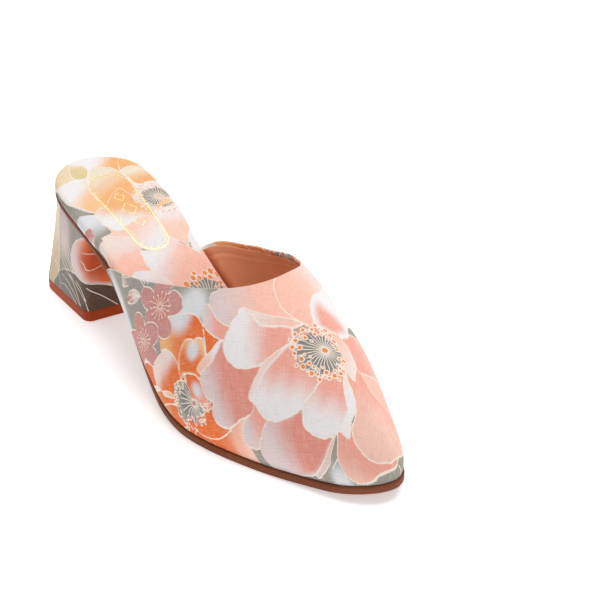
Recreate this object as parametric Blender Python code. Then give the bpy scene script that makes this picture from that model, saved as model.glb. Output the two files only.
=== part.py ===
"""Right-foot block heel mule: outsole, padded insole, open-backed upper, covered heel and heel lift.

Stations run in millimetres from the back of the heel seat (0) to the toe end of the sole (LENGTH).
+X points to the toe, +Y to the inner (medial) side of the foot and +Z up; the shoe stands on z = 0.
"""
import math

import bmesh
import bpy
import numpy as np

MM = 0.001

# Driving sizes in millimetres
LENGTH = 252.0
TOE_OFFSET = 4.5            # the toe point lies this far to the inner side
GAP = 0.35                  # between pieces that meet
SOLE_AT_HEEL = 2.2
SOLE_AT_TREAD = 3.3
INSOLE_AT_HEEL = 4.2
INSOLE_AT_TOE = 3.4
INSOLE_ROUND = 3.0          # how far the rounded edge of the padding reaches inwards
INSOLE_TUCK = 1.5           # the insole is this much narrower inside the upper
TUCK_FROM, TUCK_TO = 58.0, 77.0
WALL = 1.8                  # fabric, backing and lining of the upper
INSOLE_CLEAR = 2.4          # from the upper's outer face to the insole's edge
TOE_SETBACK = 1.0           # the upper starts this far behind the toe of the sole
TOE_BLEND = 15.0            # the wall is shifted back over this length at the toe
LIFT_HEIGHT = 5.5
HEEL_REAR_TOP, HEEL_REAR_FOOT = 1.4, 1.2
BREAST_TOP, BREAST_FOOT = 52.5, 53.0
HEEL_INSET = 1.1            # the heel is this much narrower than its seat at the top
HEEL_CORNER = 4.0           # depth of the rounded corners at its front

# The sole's outline: station, outer half width, inner half width
OUTLINE = (
    (12, 20.8, 22.0),
    (34, 26.3, 23.9),
    (62, 26.9, 22.3),
    (92, 29.5, 19.6),
    (122, 34.0, 26.5),
    (150, 39.6, 38.4),
    (174, 38.6, 40.2),
    (200, 30.6, 33.4),
    (224, 20.3, 24.4),
    (240, 12.6, 17.8),
)

# Underside of the sole: station, height above the floor
UNDERSIDE = (
    (0, 54.8),
    (45, 45.6),
    (85, 33.3),
    (125, 8.8),
    (150, 2.0),
    (170, 0.0),
    (205, 0.0),
    (235, 2.0),
    (LENGTH, 5.0),
)

# Edge of the opening: place across the upper (-1 outer edge, 0 ridge, 1 inner edge), station
TOPLINE = (
    (-1.0, 80.5),
    (-0.65, 121.0),
    (-0.3, 157.0),
    (0.0, 165.3),
    (0.15, 162.7),
    (0.3, 157.7),
    (0.4, 152.2),
    (0.5, 142.7),
    (0.6, 133.4),
    (0.7, 123.0),
    (0.8, 112.0),
    (0.9, 99.8),
    (1.0, 81.1),
)

# How far the upper's lower edge stands outside the sole's outline: station, distance
FEATHER = (
    (80, 0.6),
    (105, 0.6),
    (150, -0.8),
    (LENGTH, -0.8),
)

# Heel lift outline: distance from the rear, outer half width, inner half width
HEEL_FOOT = (
    (0.0, 26.3, 24.8),
    (0.5, 27.2, 25.6),
    (1.0, 28.0, 26.3),
)

# Shape of the upper over the distance from the toe, see ridge_height, ridge_side and bulge
RIDGE_RISE = (48.6, 17.5, -5.55)
RIDGE_SHIFT = (1.58, 0.86)
OUTER_BULGE = (1.6, 2.0)
INNER_BULGE = (3.6, 3.3)
OUTER_FULLNESS = 1.95
INNER_FULLNESS = 1.92
THROAT_FULLNESS = 0.54      # more on the inner side, back from the throat
BULGE_PEAK = 6.75           # makes the bulge's largest value 1, at a third of the height

STATIONS = 64
ACROSS = 6
UPPER_STATIONS = 34
UPPER_ACROSS = 17           # on each side of the ridge
HEEL_LEVELS = 8
HEEL_STATIONS = 18

COLOURS = {
    "outsole": ((0.23, 0.085, 0.045), 0.55),
    "insole": ((0.86, 0.52, 0.38), 0.75),
    "upper": ((0.84, 0.50, 0.44), 0.80),
    "heel": ((0.62, 0.52, 0.44), 0.80),
    "heel_lift": ((0.55, 0.15, 0.04), 0.50),
}


def column(table, index):
    return np.array([row[index] for row in table], float)


def smooth_through(knots, values, at):
    """Natural cubic curve through the knots."""
    step = np.diff(knots)
    count = len(knots)
    matrix = np.eye(count)
    right = np.zeros(count)
    for i in range(1, count - 1):
        matrix[i, i - 1:i + 2] = step[i - 1], 2 * (step[i - 1] + step[i]), step[i]
        right[i] = 6 * ((values[i + 1] - values[i]) / step[i] - (values[i] - values[i - 1]) / step[i - 1])
    bend = np.linalg.solve(matrix, right)
    at = np.clip(at, knots[0], knots[-1])
    i = np.clip(np.searchsorted(knots, at, side="right") - 1, 0, count - 2)
    t = at - knots[i]
    slope = (values[i + 1] - values[i]) / step[i] - step[i] * (2 * bend[i] + bend[i + 1]) / 6
    return values[i] + t * slope + bend[i] / 2 * t ** 2 + (bend[i + 1] - bend[i]) / (6 * step[i]) * t ** 3


def steady_through(knots, values, at):
    """Cubic curve through the knots that never overshoots, so a flat stretch stays flat."""
    step = np.diff(knots)
    rise = np.diff(values) / step
    slope = np.zeros(len(knots))
    for i in range(1, len(knots) - 1):
        if rise[i - 1] * rise[i] > 0:
            before, after = 2 * step[i] + step[i - 1], step[i] + 2 * step[i - 1]
            slope[i] = (before + after) / (before / rise[i - 1] + after / rise[i])
    slope[0], slope[-1] = rise[0], rise[-1]
    at = np.clip(at, knots[0], knots[-1])
    i = np.clip(np.searchsorted(knots, at, side="right") - 1, 0, len(step) - 1)
    t = (at - knots[i]) / step[i]
    return ((1 + 2 * t) * (1 - t) ** 2 * values[i] + t * (1 - t) ** 2 * step[i] * slope[i]
            + t * t * (3 - 2 * t) * values[i + 1] + t * t * (t - 1) * step[i] * slope[i + 1])


def blend(start, end, at):
    t = np.clip((at - start) / (end - start), 0, 1)
    return t * t * (3 - 2 * t)


def around(station):
    """Angle that makes both ends of the outline round."""
    return np.arccos(np.clip(1 - 2 * np.asarray(station, float) / LENGTH, -1, 1))


def sole_half(side, station):
    """Half width of the sole, from the foot's axis to its outer (-1) or inner (1) edge."""
    widths = column(OUTLINE, 1 if side < 0 else 2)
    knots = around(np.concatenate([[0], column(OUTLINE, 0), [LENGTH]]))
    return smooth_through(knots, np.concatenate([[0], widths, [side * TOE_OFFSET]]), around(station))


def sole_under(station):
    return steady_through(column(UNDERSIDE, 0), column(UNDERSIDE, 1), station)


def sole_top(station):
    return sole_under(station) + SOLE_AT_HEEL + (SOLE_AT_TREAD - SOLE_AT_HEEL) * blend(60, 115, station)


def ridge_height(t):
    return t * (RIDGE_RISE[0] + RIDGE_RISE[1] * t + RIDGE_RISE[2] * t * t)


def ridge_side(t):
    return TOE_OFFSET + t * (RIDGE_SHIFT[0] + RIDGE_SHIFT[1] * t)


def bulge(side, t):
    rates = OUTER_BULGE if side < 0 else INNER_BULGE
    return t * (rates[0] + rates[1] * t)


def toe_distance(station, inset):
    """Distance to the toe end of a surface that lies inset inside the upper's outer face."""
    plain = np.clip(LENGTH - TOE_SETBACK - np.asarray(station, float), 0, None)
    return np.clip(plain - inset * np.exp(-plain / TOE_BLEND), 0, None)


def toe_end(inset):
    """Station where that surface ends."""
    low, high = LENGTH - TOE_SETBACK - 2 * inset - 1, LENGTH - TOE_SETBACK
    for _ in range(60):
        middle = (low + high) / 2
        if toe_distance(middle, inset) > 0:
            low = middle
        else:
            high = middle
    return high


def feather_half(side, station, inset):
    """Half width of the upper's lower edge."""
    t = np.sqrt(toe_distance(station, inset) / 100)
    end = toe_end(inset)
    near_toe = np.clip((station - 150) / (end - 150), 0, 1)
    outline = sole_half(side, station + (LENGTH - end) * near_toe)
    outside = steady_through(column(FEATHER, 0), column(FEATHER, 1), station) - inset
    return outline + outside * np.clip(t / 0.4, 0, 1)


def upper_point(side, station, angle, inset=0.0):
    """Point of the upper: angle 0 is its lower edge, a quarter turn its ridge."""
    t = np.sqrt(toe_distance(station, inset) / 100)
    fullness = OUTER_FULLNESS if side < 0 else INNER_FULLNESS + THROAT_FULLNESS * blend(0.9, 1.0, t)
    over = np.clip(np.cos(angle), 0, 1) ** (2 / fullness)
    up = np.clip(np.sin(angle), 0, 1) ** (2 / fullness)
    ridge = ridge_side(t)
    half = feather_half(side, station, inset) - side * ridge
    rise = ridge_height(t) - inset * np.clip(t / 0.25, 0, 1)
    swell = bulge(side, t) * BULGE_PEAK * up * (1 - up) ** 2
    y = ridge + side * (half * over + swell)
    return np.stack([station + 0 * y, y, sole_top(station) + GAP + rise * up], -1)


def topline_station(across):
    return smooth_through(column(TOPLINE, 0), column(TOPLINE, 1), across)


def upper_grid(inset):
    """Rows from the opening to the toe, each from the outer edge over the ridge to the inner edge."""
    across = np.linspace(-1, 1, 2 * UPPER_ACROSS + 1)
    start = topline_station(across)
    along = 1 - (1 - np.linspace(0, 1, UPPER_STATIONS + 1)) ** 1.5
    rows = []
    for step in along:
        station = start + (toe_end(inset) - start) * step
        angle = (1 - np.abs(across)) * math.pi / 2
        outer = upper_point(-1, station, angle, inset)
        inner = upper_point(1, station, angle, inset)
        rows.append(np.where((across < 0)[:, None], outer, inner))
    return rows


def loft(name, loops, cap_start=False, cap_end=False):
    """Close a row of loops into one body; a cap joins each loop's first half to its second half."""
    mesh = bmesh.new()
    rings = [[mesh.verts.new(point * MM) for point in loop] for loop in loops]
    count = len(loops[0])
    for first, second in zip(rings, rings[1:]):
        for i in range(count):
            j = (i + 1) % count
            mesh.faces.new((first[i], first[j], second[j], second[i]))
    for ring, wanted in ((rings[0], cap_start), (rings[-1], cap_end)):
        if wanted:
            for i in range(count // 2 - 1):
                mesh.faces.new((ring[i], ring[i + 1], ring[count - 2 - i], ring[count - 1 - i]))
    bmesh.ops.remove_doubles(mesh, verts=mesh.verts, dist=1e-6)
    bmesh.ops.dissolve_degenerate(mesh, edges=mesh.edges, dist=1e-6)
    bmesh.ops.recalc_face_normals(mesh, faces=mesh.faces)
    data = bpy.data.meshes.new(name)
    mesh.to_mesh(data)
    mesh.free()
    body = bpy.data.objects.new(name, data)
    bpy.context.collection.objects.link(body)
    return body


def flat_loops(levels, start, end, half):
    """Loops of a plate that follows the foot: levels hold how far in and at what height each edge lies.

    Each level is (inset, height) where height takes a station; the first is the bottom edge."""
    share = (1 - np.cos(np.linspace(0, math.pi, STATIONS + 1))) / 2
    loops = []
    for f in share:
        sides = {}
        for side in (-1, 1):
            edge = []
            for inset, height in levels:
                station = start + inset + (end - start - 2 * inset) * f
                width = half(side, start + (end - start) * f)
                centre = side * TOE_OFFSET * blend(150, LENGTH, station)
                width = centre + (width - centre) * (1 - inset / max(width - centre, 12))
                edge.append(np.array([station, side * width, height(station)]))
            sides[side] = edge
        top = [sides[-1][-1] + (sides[1][-1] - sides[-1][-1]) * k / ACROSS for k in range(1, ACROSS)]
        low = [sides[1][0] + (sides[-1][0] - sides[1][0]) * k / ACROSS for k in range(1, ACROSS)]
        loops.append(sides[-1] + top + sides[1][::-1] + low)
    return loops


def make_outsole():
    levels = ((0.4, sole_under), (0.0, lambda s: sole_under(s) + 0.5), (0.0, sole_top))
    return loft("outsole", flat_loops(levels, 0, LENGTH, sole_half))


def make_insole():
    def half(side, station):
        tuck = INSOLE_TUCK * blend(TUCK_FROM, TUCK_TO, station)
        inside = feather_half(side, station, INSOLE_CLEAR)
        outside = sole_half(side, station) - tuck
        return outside + (inside - outside) * blend(105, 125, station)

    def level(share):
        def height(station):
            thick = INSOLE_AT_HEEL + (INSOLE_AT_TOE - INSOLE_AT_HEEL) * blend(60, 150, station)
            return sole_top(station) + GAP + thick * share
        return height

    levels = [(0.6, level(0.0)), (0.0, level(0.25)), (0.1, level(0.5))]
    for angle in (30, 60, 90):
        turn = math.radians(angle)
        levels.append((0.1 + INSOLE_ROUND * (1 - math.cos(turn)), level(0.5 + 0.5 * math.sin(turn))))
    return loft("insole", flat_loops(levels, 0, toe_end(INSOLE_CLEAR), half))


def make_upper():
    outer = upper_grid(0.0)
    inner = upper_grid(WALL)
    loops = [np.concatenate([a, b[::-1]]) for a, b in zip(outer, inner)]
    return loft("upper", loops, cap_start=True)


def rounded(at, fullness):
    """From 0 to 1 along a rounded corner."""
    return (1 - (1 - np.clip(at, 0, 1)) ** fullness) ** (1 / fullness)


def heel_outline(level):
    """One loop of the heel: level 0 is its foot on the lift, 1 the seat under the sole."""
    rear = HEEL_REAR_FOOT + (HEEL_REAR_TOP - HEEL_REAR_FOOT) * level
    front = BREAST_FOOT + (BREAST_TOP - BREAST_FOOT) * level
    share = (1 - np.cos(np.linspace(0, math.pi, HEEL_STATIONS + 1))) / 2
    round_rear = rounded(share / 0.4, 6.0)
    round_front = rounded((1 - share) / 0.1, 2.2)
    halves = {}
    for side in (-1, 1):
        foot = smooth_through(column(HEEL_FOOT, 0), column(HEEL_FOOT, 1 if side < 0 else 2), share)
        foot = foot * round_rear - HEEL_CORNER * (1 - round_front)
        seat_station = HEEL_REAR_TOP + (BREAST_TOP - HEEL_REAR_TOP) * share
        seat = sole_half(side, seat_station) - HEEL_INSET
        seat = np.where(share > 0, np.clip(seat, 0, None), 0) - HEEL_CORNER * (1 - round_front)
        halves[side] = foot + (seat - foot) * level
    station = rear + (front - rear) * share
    return station, halves


def heel_loop(level, height):
    station, halves = heel_outline(level)
    outer = [(s, -w, height(s)) for s, w in zip(station, halves[-1])]
    inner = [(s, w, height(s)) for s, w in zip(station, halves[1])]
    return np.array(outer + inner[::-1], float)


def make_heel():
    foot = LIFT_HEIGHT + GAP
    loops = []
    for level in np.linspace(0, 1, HEEL_LEVELS + 1):
        loops.append(heel_loop(level, lambda s, k=level: foot + (sole_under(s) - GAP - foot) * k))
    return loft("heel", loops, True, True)


def make_lift():
    loops = [heel_loop(0, lambda s, z=z: z) for z in (0.0, LIFT_HEIGHT)]
    return loft("heel_lift", loops, True, True)


def add_material(body):
    colour, roughness = COLOURS[body.name]
    material = bpy.data.materials.new(body.name)
    material.use_nodes = True
    shader = material.node_tree.nodes["Principled BSDF"]
    shader.inputs["Base Color"].default_value = (*colour, 1)
    shader.inputs["Roughness"].default_value = roughness
    shader.inputs["Metallic"].default_value = 0.0
    body.data.materials.append(material)
    body.data.shade_smooth()
    body.data.set_sharp_from_angle(angle=math.radians(40))


def centre_on_base(bodies):
    """Put the origin under the middle of the whole shoe, on the floor."""
    points = np.array([v.co for body in bodies for v in body.data.vertices])
    low, high = points.min(0), points.max(0)
    shift = np.array([(low[0] + high[0]) / 2, (low[1] + high[1]) / 2, low[2]])
    for body in bodies:
        for vertex in body.data.vertices:
            vertex.co = vertex.co - type(vertex.co)(shift)


def main():
    for old in list(bpy.data.objects):
        bpy.data.objects.remove(old, do_unlink=True)
    bodies = [make_outsole(), make_insole(), make_upper(), make_heel(), make_lift()]
    centre_on_base(bodies)
    for body in bodies:
        add_material(body)


main()
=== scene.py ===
import math

import bpy
import numpy as np
from mathutils import Matrix, Vector


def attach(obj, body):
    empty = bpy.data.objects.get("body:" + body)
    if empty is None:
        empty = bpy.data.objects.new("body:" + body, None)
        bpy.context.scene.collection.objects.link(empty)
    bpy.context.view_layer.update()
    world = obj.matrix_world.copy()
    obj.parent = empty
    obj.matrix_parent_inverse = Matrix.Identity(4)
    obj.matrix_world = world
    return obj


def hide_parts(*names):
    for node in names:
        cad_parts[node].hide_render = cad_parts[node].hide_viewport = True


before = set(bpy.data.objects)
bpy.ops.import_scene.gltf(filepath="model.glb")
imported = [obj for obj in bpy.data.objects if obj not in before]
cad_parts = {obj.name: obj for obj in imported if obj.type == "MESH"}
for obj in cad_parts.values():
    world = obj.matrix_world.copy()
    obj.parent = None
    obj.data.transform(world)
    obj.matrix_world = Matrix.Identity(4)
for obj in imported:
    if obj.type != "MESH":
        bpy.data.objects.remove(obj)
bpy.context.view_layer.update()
bpy.ops.object.select_all(action="DESELECT")
print("frame loaded")

# The last of the shoe, in millimetres from the back of the heel seat; the inner side of the foot is +
last = {
    "length": 252.0, "toeOffset": 4.5, "sideShift": 1.829, "gap": 0.35,
    "soleAtHeel": 2.2, "soleAtTread": 3.3, "toeSetback": 1.0, "toeBlend": 15.0,
    "outline": ((12, 20.8, 22.0), (34, 26.3, 23.9), (62, 26.9, 22.3), (92, 29.5, 19.6), (122, 34.0, 26.5),
                (150, 39.6, 38.4), (174, 38.6, 40.2), (200, 30.6, 33.4), (224, 20.3, 24.4),
                (240, 12.6, 17.8)),
    "underside": ((0, 54.8), (45, 45.6), (85, 33.3), (125, 8.8), (150, 2.0), (170, 0.0), (205, 0.0),
                  (235, 2.0), (252, 5.0)),
    "topline": ((-1.0, 80.5), (-0.65, 121.0), (-0.3, 157.0), (0.0, 165.3), (0.15, 162.7), (0.3, 157.7),
                (0.4, 152.2), (0.5, 142.7), (0.6, 133.4), (0.7, 123.0), (0.8, 112.0), (0.9, 99.8),
                (1.0, 81.1)),
    "feather": ((80, 0.6), (105, 0.6), (150, -0.8), (252, -0.8)),
    "ridgeRise": (48.6, 17.5, -5.55), "ridgeShift": (1.58, 0.86),
    "outerBulge": (1.6, 2.0), "innerBulge": (3.6, 3.3), "bulgePeak": 6.75,
    "outerFullness": 1.95, "innerFullness": 1.92, "throatFullness": 0.54, "clothMiddle": (1.18, 1.16),
}


def column(table, index):
    return np.array([row[index] for row in table], float)


# Natural cubic curve through the knots
def curveThrough(knots, values, at):
    step = np.diff(knots)
    count = len(knots)
    matrix = np.eye(count)
    right = np.zeros(count)
    for i in range(1, count - 1):
        matrix[i, i - 1:i + 2] = step[i - 1], 2 * (step[i - 1] + step[i]), step[i]
        right[i] = 6 * ((values[i + 1] - values[i]) / step[i] - (values[i] - values[i - 1]) / step[i - 1])
    bend = np.linalg.solve(matrix, right)
    at = np.clip(at, knots[0], knots[-1])
    i = np.clip(np.searchsorted(knots, at, side="right") - 1, 0, count - 2)
    t = at - knots[i]
    slope = (values[i + 1] - values[i]) / step[i] - step[i] * (2 * bend[i] + bend[i + 1]) / 6
    return values[i] + t * slope + bend[i] / 2 * t ** 2 + (bend[i + 1] - bend[i]) / (6 * step[i]) * t ** 3


# Cubic curve that never overshoots its knots
def steadyThrough(knots, values, at):
    step = np.diff(knots)
    rise = np.diff(values) / step
    slope = np.zeros(len(knots))
    for i in range(1, len(knots) - 1):
        if rise[i - 1] * rise[i] > 0:
            before, after = 2 * step[i] + step[i - 1], step[i] + 2 * step[i - 1]
            slope[i] = (before + after) / (before / rise[i - 1] + after / rise[i])
    slope[0], slope[-1] = rise[0], rise[-1]
    at = np.clip(at, knots[0], knots[-1])
    i = np.clip(np.searchsorted(knots, at, side="right") - 1, 0, len(step) - 1)
    t = (at - knots[i]) / step[i]
    return ((1 + 2 * t) * (1 - t) ** 2 * values[i] + t * (1 - t) ** 2 * step[i] * slope[i]
            + t * t * (3 - 2 * t) * values[i + 1] + t * t * (t - 1) * step[i] * slope[i + 1])


def ease(start, end, at):
    t = np.clip((at - start) / (end - start), 0, 1)
    return t * t * (3 - 2 * t)


def soleHalf(side, station):
    def around(s):
        return np.arccos(np.clip(1 - 2 * np.asarray(s, float) / last["length"], -1, 1))
    widths = column(last["outline"], 1 if side < 0 else 2)
    knots = around(np.concatenate([[0], column(last["outline"], 0), [last["length"]]]))
    return curveThrough(knots, np.concatenate([[0], widths, [side * last["toeOffset"]]]), around(station))


def soleUnder(station):
    return steadyThrough(column(last["underside"], 0), column(last["underside"], 1), station)


def soleTop(station):
    return soleUnder(station) + last["soleAtHeel"] + (last["soleAtTread"] - last["soleAtHeel"]) * ease(
        60, 115, station)


def toeDistance(station, inset):
    plain = np.clip(last["length"] - last["toeSetback"] - np.asarray(station, float), 0, None)
    return np.clip(plain - inset * np.exp(-plain / last["toeBlend"]), 0, None)


def toeEnd(inset):
    low, high = last["length"] - last["toeSetback"] - 2 * inset - 1, last["length"] - last["toeSetback"]
    for _ in range(50):
        middle = (low + high) / 2
        low, high = (middle, high) if toeDistance(middle, inset) > 0 else (low, middle)
    return high


# Half width of the upper's lower edge
def featherHalf(side, station, inset):
    t = np.sqrt(toeDistance(station, inset) / 100)
    end = toeEnd(inset)
    nearToe = np.clip((station - 150) / (end - 150), 0, 1)
    outline = soleHalf(side, station + (last["length"] - end) * nearToe)
    outside = steadyThrough(column(last["feather"], 0), column(last["feather"], 1), station) - inset
    return outline + outside * np.clip(t / 0.4, 0, 1)


# Angle 0 is the lower edge of the upper, a quarter turn its ridge
def upperPoint(side, station, angle, inset):
    t = np.sqrt(toeDistance(station, inset) / 100)
    fullness = last["outerFullness"] if side < 0 else last["innerFullness"] + last["throatFullness"] * ease(
        0.9, 1.0, t)
    swellRate = last["outerBulge"] if side < 0 else last["innerBulge"]
    over = np.clip(np.cos(angle), 0, 1) ** (2 / fullness)
    up = np.clip(np.sin(angle), 0, 1) ** (2 / fullness)
    ridge = last["toeOffset"] + t * (last["ridgeShift"][0] + last["ridgeShift"][1] * t)
    height = t * (last["ridgeRise"][0] + last["ridgeRise"][1] * t + last["ridgeRise"][2] * t * t)
    half = featherHalf(side, station, inset) - side * ridge
    rise = height - inset * np.clip(t / 0.25, 0, 1)
    swell = t * (swellRate[0] + swellRate[1] * t) * last["bulgePeak"] * up * (1 - up) ** 2
    y = ridge + side * (half * over + swell)
    return np.stack([station + 0 * y, y, soleTop(station) + last["gap"] + rise * up], -1)


# across runs from -1 at the outer edge over the ridge to 1, along from 0 at the opening to 1 at the toe
def upperAt(across, along, inset, shift=0.0):
    start = curveThrough(column(last["topline"], 0), column(last["topline"], 1), across) + shift
    station = start + (toeEnd(inset) - start) * along
    angle = (1 - np.abs(across)) * math.pi / 2
    outer = upperPoint(-1, station, angle, inset)
    inner = upperPoint(1, station, angle, inset)
    return np.where((across < 0)[..., None], outer, inner), station, angle


# Girths of the upper from its ridge down, one row a millimetre and one column a degree
arcFrom, arcUntil = 78, 251
upperArcs = []
for side in (-1, 1):
    stations = np.arange(arcFrom, arcUntil + 1.0)[:, None]
    angles = np.linspace(math.pi / 2, 0, 91)
    grid = upperPoint(side, stations + 0 * angles, angles + 0 * stations, 0.0)
    steps = np.linalg.norm(np.diff(grid, axis=1), axis=2)
    upperArcs.append(np.concatenate([0 * stations, np.cumsum(steps, 1)], 1))


# Distance over the upper at one station, from a line a little outside its ridge
def upperArc(station, angle, across):
    i = np.clip(station - arcFrom, 0, arcUntil - arcFrom - 0.001)
    j = np.clip(90 - np.degrees(angle), 0, 89.999)
    i0, j0 = i.astype(int), j.astype(int)
    a, b = i - i0, j - j0
    outer, inner = (arc[i0, j0] * (1 - a) * (1 - b) + arc[i0 + 1, j0] * a * (1 - b)
                    + arc[i0, j0 + 1] * (1 - a) * b + arc[i0 + 1, j0 + 1] * a * b for arc in upperArcs)
    t = np.sqrt(toeDistance(station, 0.0) / 100)
    return np.where(across < 0, -outer, inner) + t * (last["clothMiddle"][0] + last["clothMiddle"][1] * t)


def toScene(points):
    return (points - np.array([last["length"] / 2, last["sideShift"], 0])) * 0.001


clothSpan = 400.0  # millimetres of cloth that the map's unit square stands for


# A grid primitive whose points are laid on the given ones, with the place on the cloth as its map;
# where fine marks cells, the grid has every second point and the marked cells are divided
def layGrid(name, points, places=None, fine=None):
    step = 1 if fine is None else 2
    rows, columns = (points.shape[0] - 1) // step + 1, (points.shape[1] - 1) // step + 1
    bpy.ops.mesh.primitive_grid_add(x_subdivisions=columns - 1, y_subdivisions=rows - 1, size=1)
    piece = bpy.context.object
    piece.name = name
    mesh = piece.data
    mesh.name = name
    while mesh.uv_layers:
        mesh.uv_layers.remove(mesh.uv_layers[0])
    if fine is not None:
        divideCells(mesh, rows, columns, fine)
    flat = np.zeros(len(mesh.vertices) * 3, np.float32)
    mesh.vertices.foreach_get("co", flat)
    flat = flat.reshape(-1, 3)
    i = np.rint((flat[:, 0] + 0.5) * (columns - 1) * step).astype(int)
    j = np.rint((flat[:, 1] + 0.5) * (rows - 1) * step).astype(int)
    mesh.vertices.foreach_set("co", toScene(points)[j, i].astype(np.float32).ravel())
    if places is not None:
        corner = np.zeros(len(mesh.loops), np.int32)
        mesh.loops.foreach_get("vertex_index", corner)
        cloth = places[j, i][corner] / clothSpan + 0.5
        mesh.uv_layers.new(name="clothMap").data.foreach_set("uv", cloth.astype(np.float32).ravel())
    mesh.update()
    return piece, j, i


def divideCells(mesh, rows, columns, fine):
    centres = np.zeros(len(mesh.polygons) * 3, np.float32)
    mesh.polygons.foreach_get("center", centres)
    centres = centres.reshape(-1, 3)
    i = ((centres[:, 0] + 0.5) * (columns - 1)).astype(int)
    j = ((centres[:, 1] + 0.5) * (rows - 1)).astype(int)
    bpy.ops.object.mode_set(mode="EDIT")
    bpy.ops.mesh.select_mode(type="FACE")
    bpy.ops.mesh.select_all(action="DESELECT")
    bpy.ops.object.mode_set(mode="OBJECT")
    mesh.polygons.foreach_set("select", fine[j, i])
    bpy.ops.object.mode_set(mode="EDIT")
    bpy.ops.mesh.subdivide(number_cuts=1, quadcorner="FAN")
    bpy.ops.mesh.select_mode(type="VERT")
    bpy.ops.object.mode_set(mode="OBJECT")


# Cells of a doubled grid that a drawn line crosses
def lineCells(line, reach):
    near = line < reach
    rows, columns = (near.shape[0] - 1) // 2, (near.shape[1] - 1) // 2
    found = np.zeros((rows, columns), bool)
    for a in range(3):
        for b in range(3):
            found |= near[a:a + 2 * rows:2, b:b + 2 * columns:2][:rows, :columns]
    return found


def keepPaint(piece, j, i, paint):
    colour = piece.data.attributes.new("printColour", "FLOAT_COLOR", "POINT")
    four = np.concatenate([paint["colour"], paint["open"][..., None]], -1)
    colour.data.foreach_set("color", four[j, i].astype(np.float32).ravel())
    line = piece.data.attributes.new("lineGap", "FLOAT", "POINT")
    line.data.foreach_set("value", paint["line"][j, i].astype(np.float32).ravel())


def weldSeams(piece):
    bpy.ops.object.select_all(action="DESELECT")
    piece.select_set(True)
    bpy.context.view_layer.objects.active = piece
    bpy.ops.object.mode_set(mode="EDIT")
    bpy.ops.mesh.select_all(action="SELECT")
    bpy.ops.mesh.remove_doubles(threshold=1e-6)
    bpy.ops.mesh.dissolve_degenerate(threshold=1e-6)
    bpy.ops.mesh.normals_make_consistent(inside=False)
    bpy.ops.object.mode_set(mode="OBJECT")
    bpy.ops.object.shade_smooth()
    return piece


def selectBorder():
    bpy.ops.mesh.select_all(action="DESELECT")
    bpy.ops.mesh.select_non_manifold(extend=False, use_wire=False, use_boundary=True, use_multi_face=False,
                                     use_non_contiguous=False, use_verts=False)


def finishPiece(piece, material, node):
    piece.data.materials.clear()
    piece.data.materials.append(material)
    if node:
        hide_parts(node)
    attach(piece, "root")
    print(piece.name, len(piece.data.polygons), "faces")


def srgb(red, green, blue):
    values = np.array([red, green, blue]) / 255
    return tuple(np.where(values <= 0.04045, values / 12.92, ((values + 0.055) / 1.055) ** 2.4))


dyes = {
    "ground": srgb(160, 154, 142), "mist": srgb(226, 226, 230), "white": srgb(242, 238, 238),
    "rose": srgb(244, 166, 148), "blush": srgb(247, 198, 180), "pale": srgb(244, 222, 212),
    "flame": srgb(236, 110, 26), "amber": srgb(246, 178, 112), "sand": srgb(216, 192, 158),
    "cream": srgb(240, 226, 202), "umber": srgb(92, 62, 44), "slate": srgb(134, 130, 124),
    "petalPink": srgb(206, 144, 136), "line": srgb(250, 234, 218), "lilac": srgb(228, 208, 206),
    "peach": srgb(253, 208, 188), "coral": srgb(222, 112, 84), "orange": srgb(240, 140, 66),
    "wheat": srgb(238, 214, 176), "straw": srgb(228, 204, 150), "apricot": srgb(251, 196, 142),
    "salmon": srgb(255, 194, 174), "mauve": srgb(206, 142, 140), "ruddy": srgb(232, 148, 132),
    "ember": srgb(200, 74, 4),
}
farFromLine = 9.0


# What is printed at each point of a sheet: its colour, the distance to the nearest drawn line, and whether
# a flower's heart may show there
def newPaint(places):
    size = places.shape[:2]
    return {"p": places[..., 0], "q": places[..., 1], "line": np.full(size, farFromLine),
            "open": np.ones(size), "colour": np.ones(size + (3,)) * np.array(dyes["ground"])}


# Closed or open smooth curve through the drawn points
def smoothLine(flatPoints, closed=True):
    knots = np.array(flatPoints, float).reshape(-1, 2)
    if closed:
        knots = np.vstack([knots[-1:], knots, knots[:2]])
    else:
        knots = np.vstack([2 * knots[:1] - knots[1:2], knots, 2 * knots[-1:] - knots[-2:-1]])
    t = np.linspace(0, 1, 5, endpoint=False)[:, None]
    made = []
    for a, b, c, d in zip(knots, knots[1:], knots[2:], knots[3:]):
        made.append(b + 0.5 * t * (c - a + t * (2 * a - 5 * b + 4 * c - d + t * (3 * (b - c) + d - a))))
    made = np.vstack(made)
    return made if closed else np.vstack([made, knots[-2:-1]])


# A drawn edge is never quite even: small waves along it
def ruffle(curve, height, seed):
    if not height:
        return curve
    step = np.roll(curve, -1, 0) - np.roll(curve, 1, 0)
    length = np.linalg.norm(step, axis=1, keepdims=True) + 1e-9
    run = np.cumsum(length[:, 0]) / 2
    out = np.stack([step[:, 1], -step[:, 0]], -1) / length
    wave = np.sin(run * 1.2 + seed) + 0.5 * np.sin(run * 2.1 + 2.1 * seed) + 0.6 * np.sin(run * 0.6 + seed)
    return curve + out * (wave * height / 3)[:, None]


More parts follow.
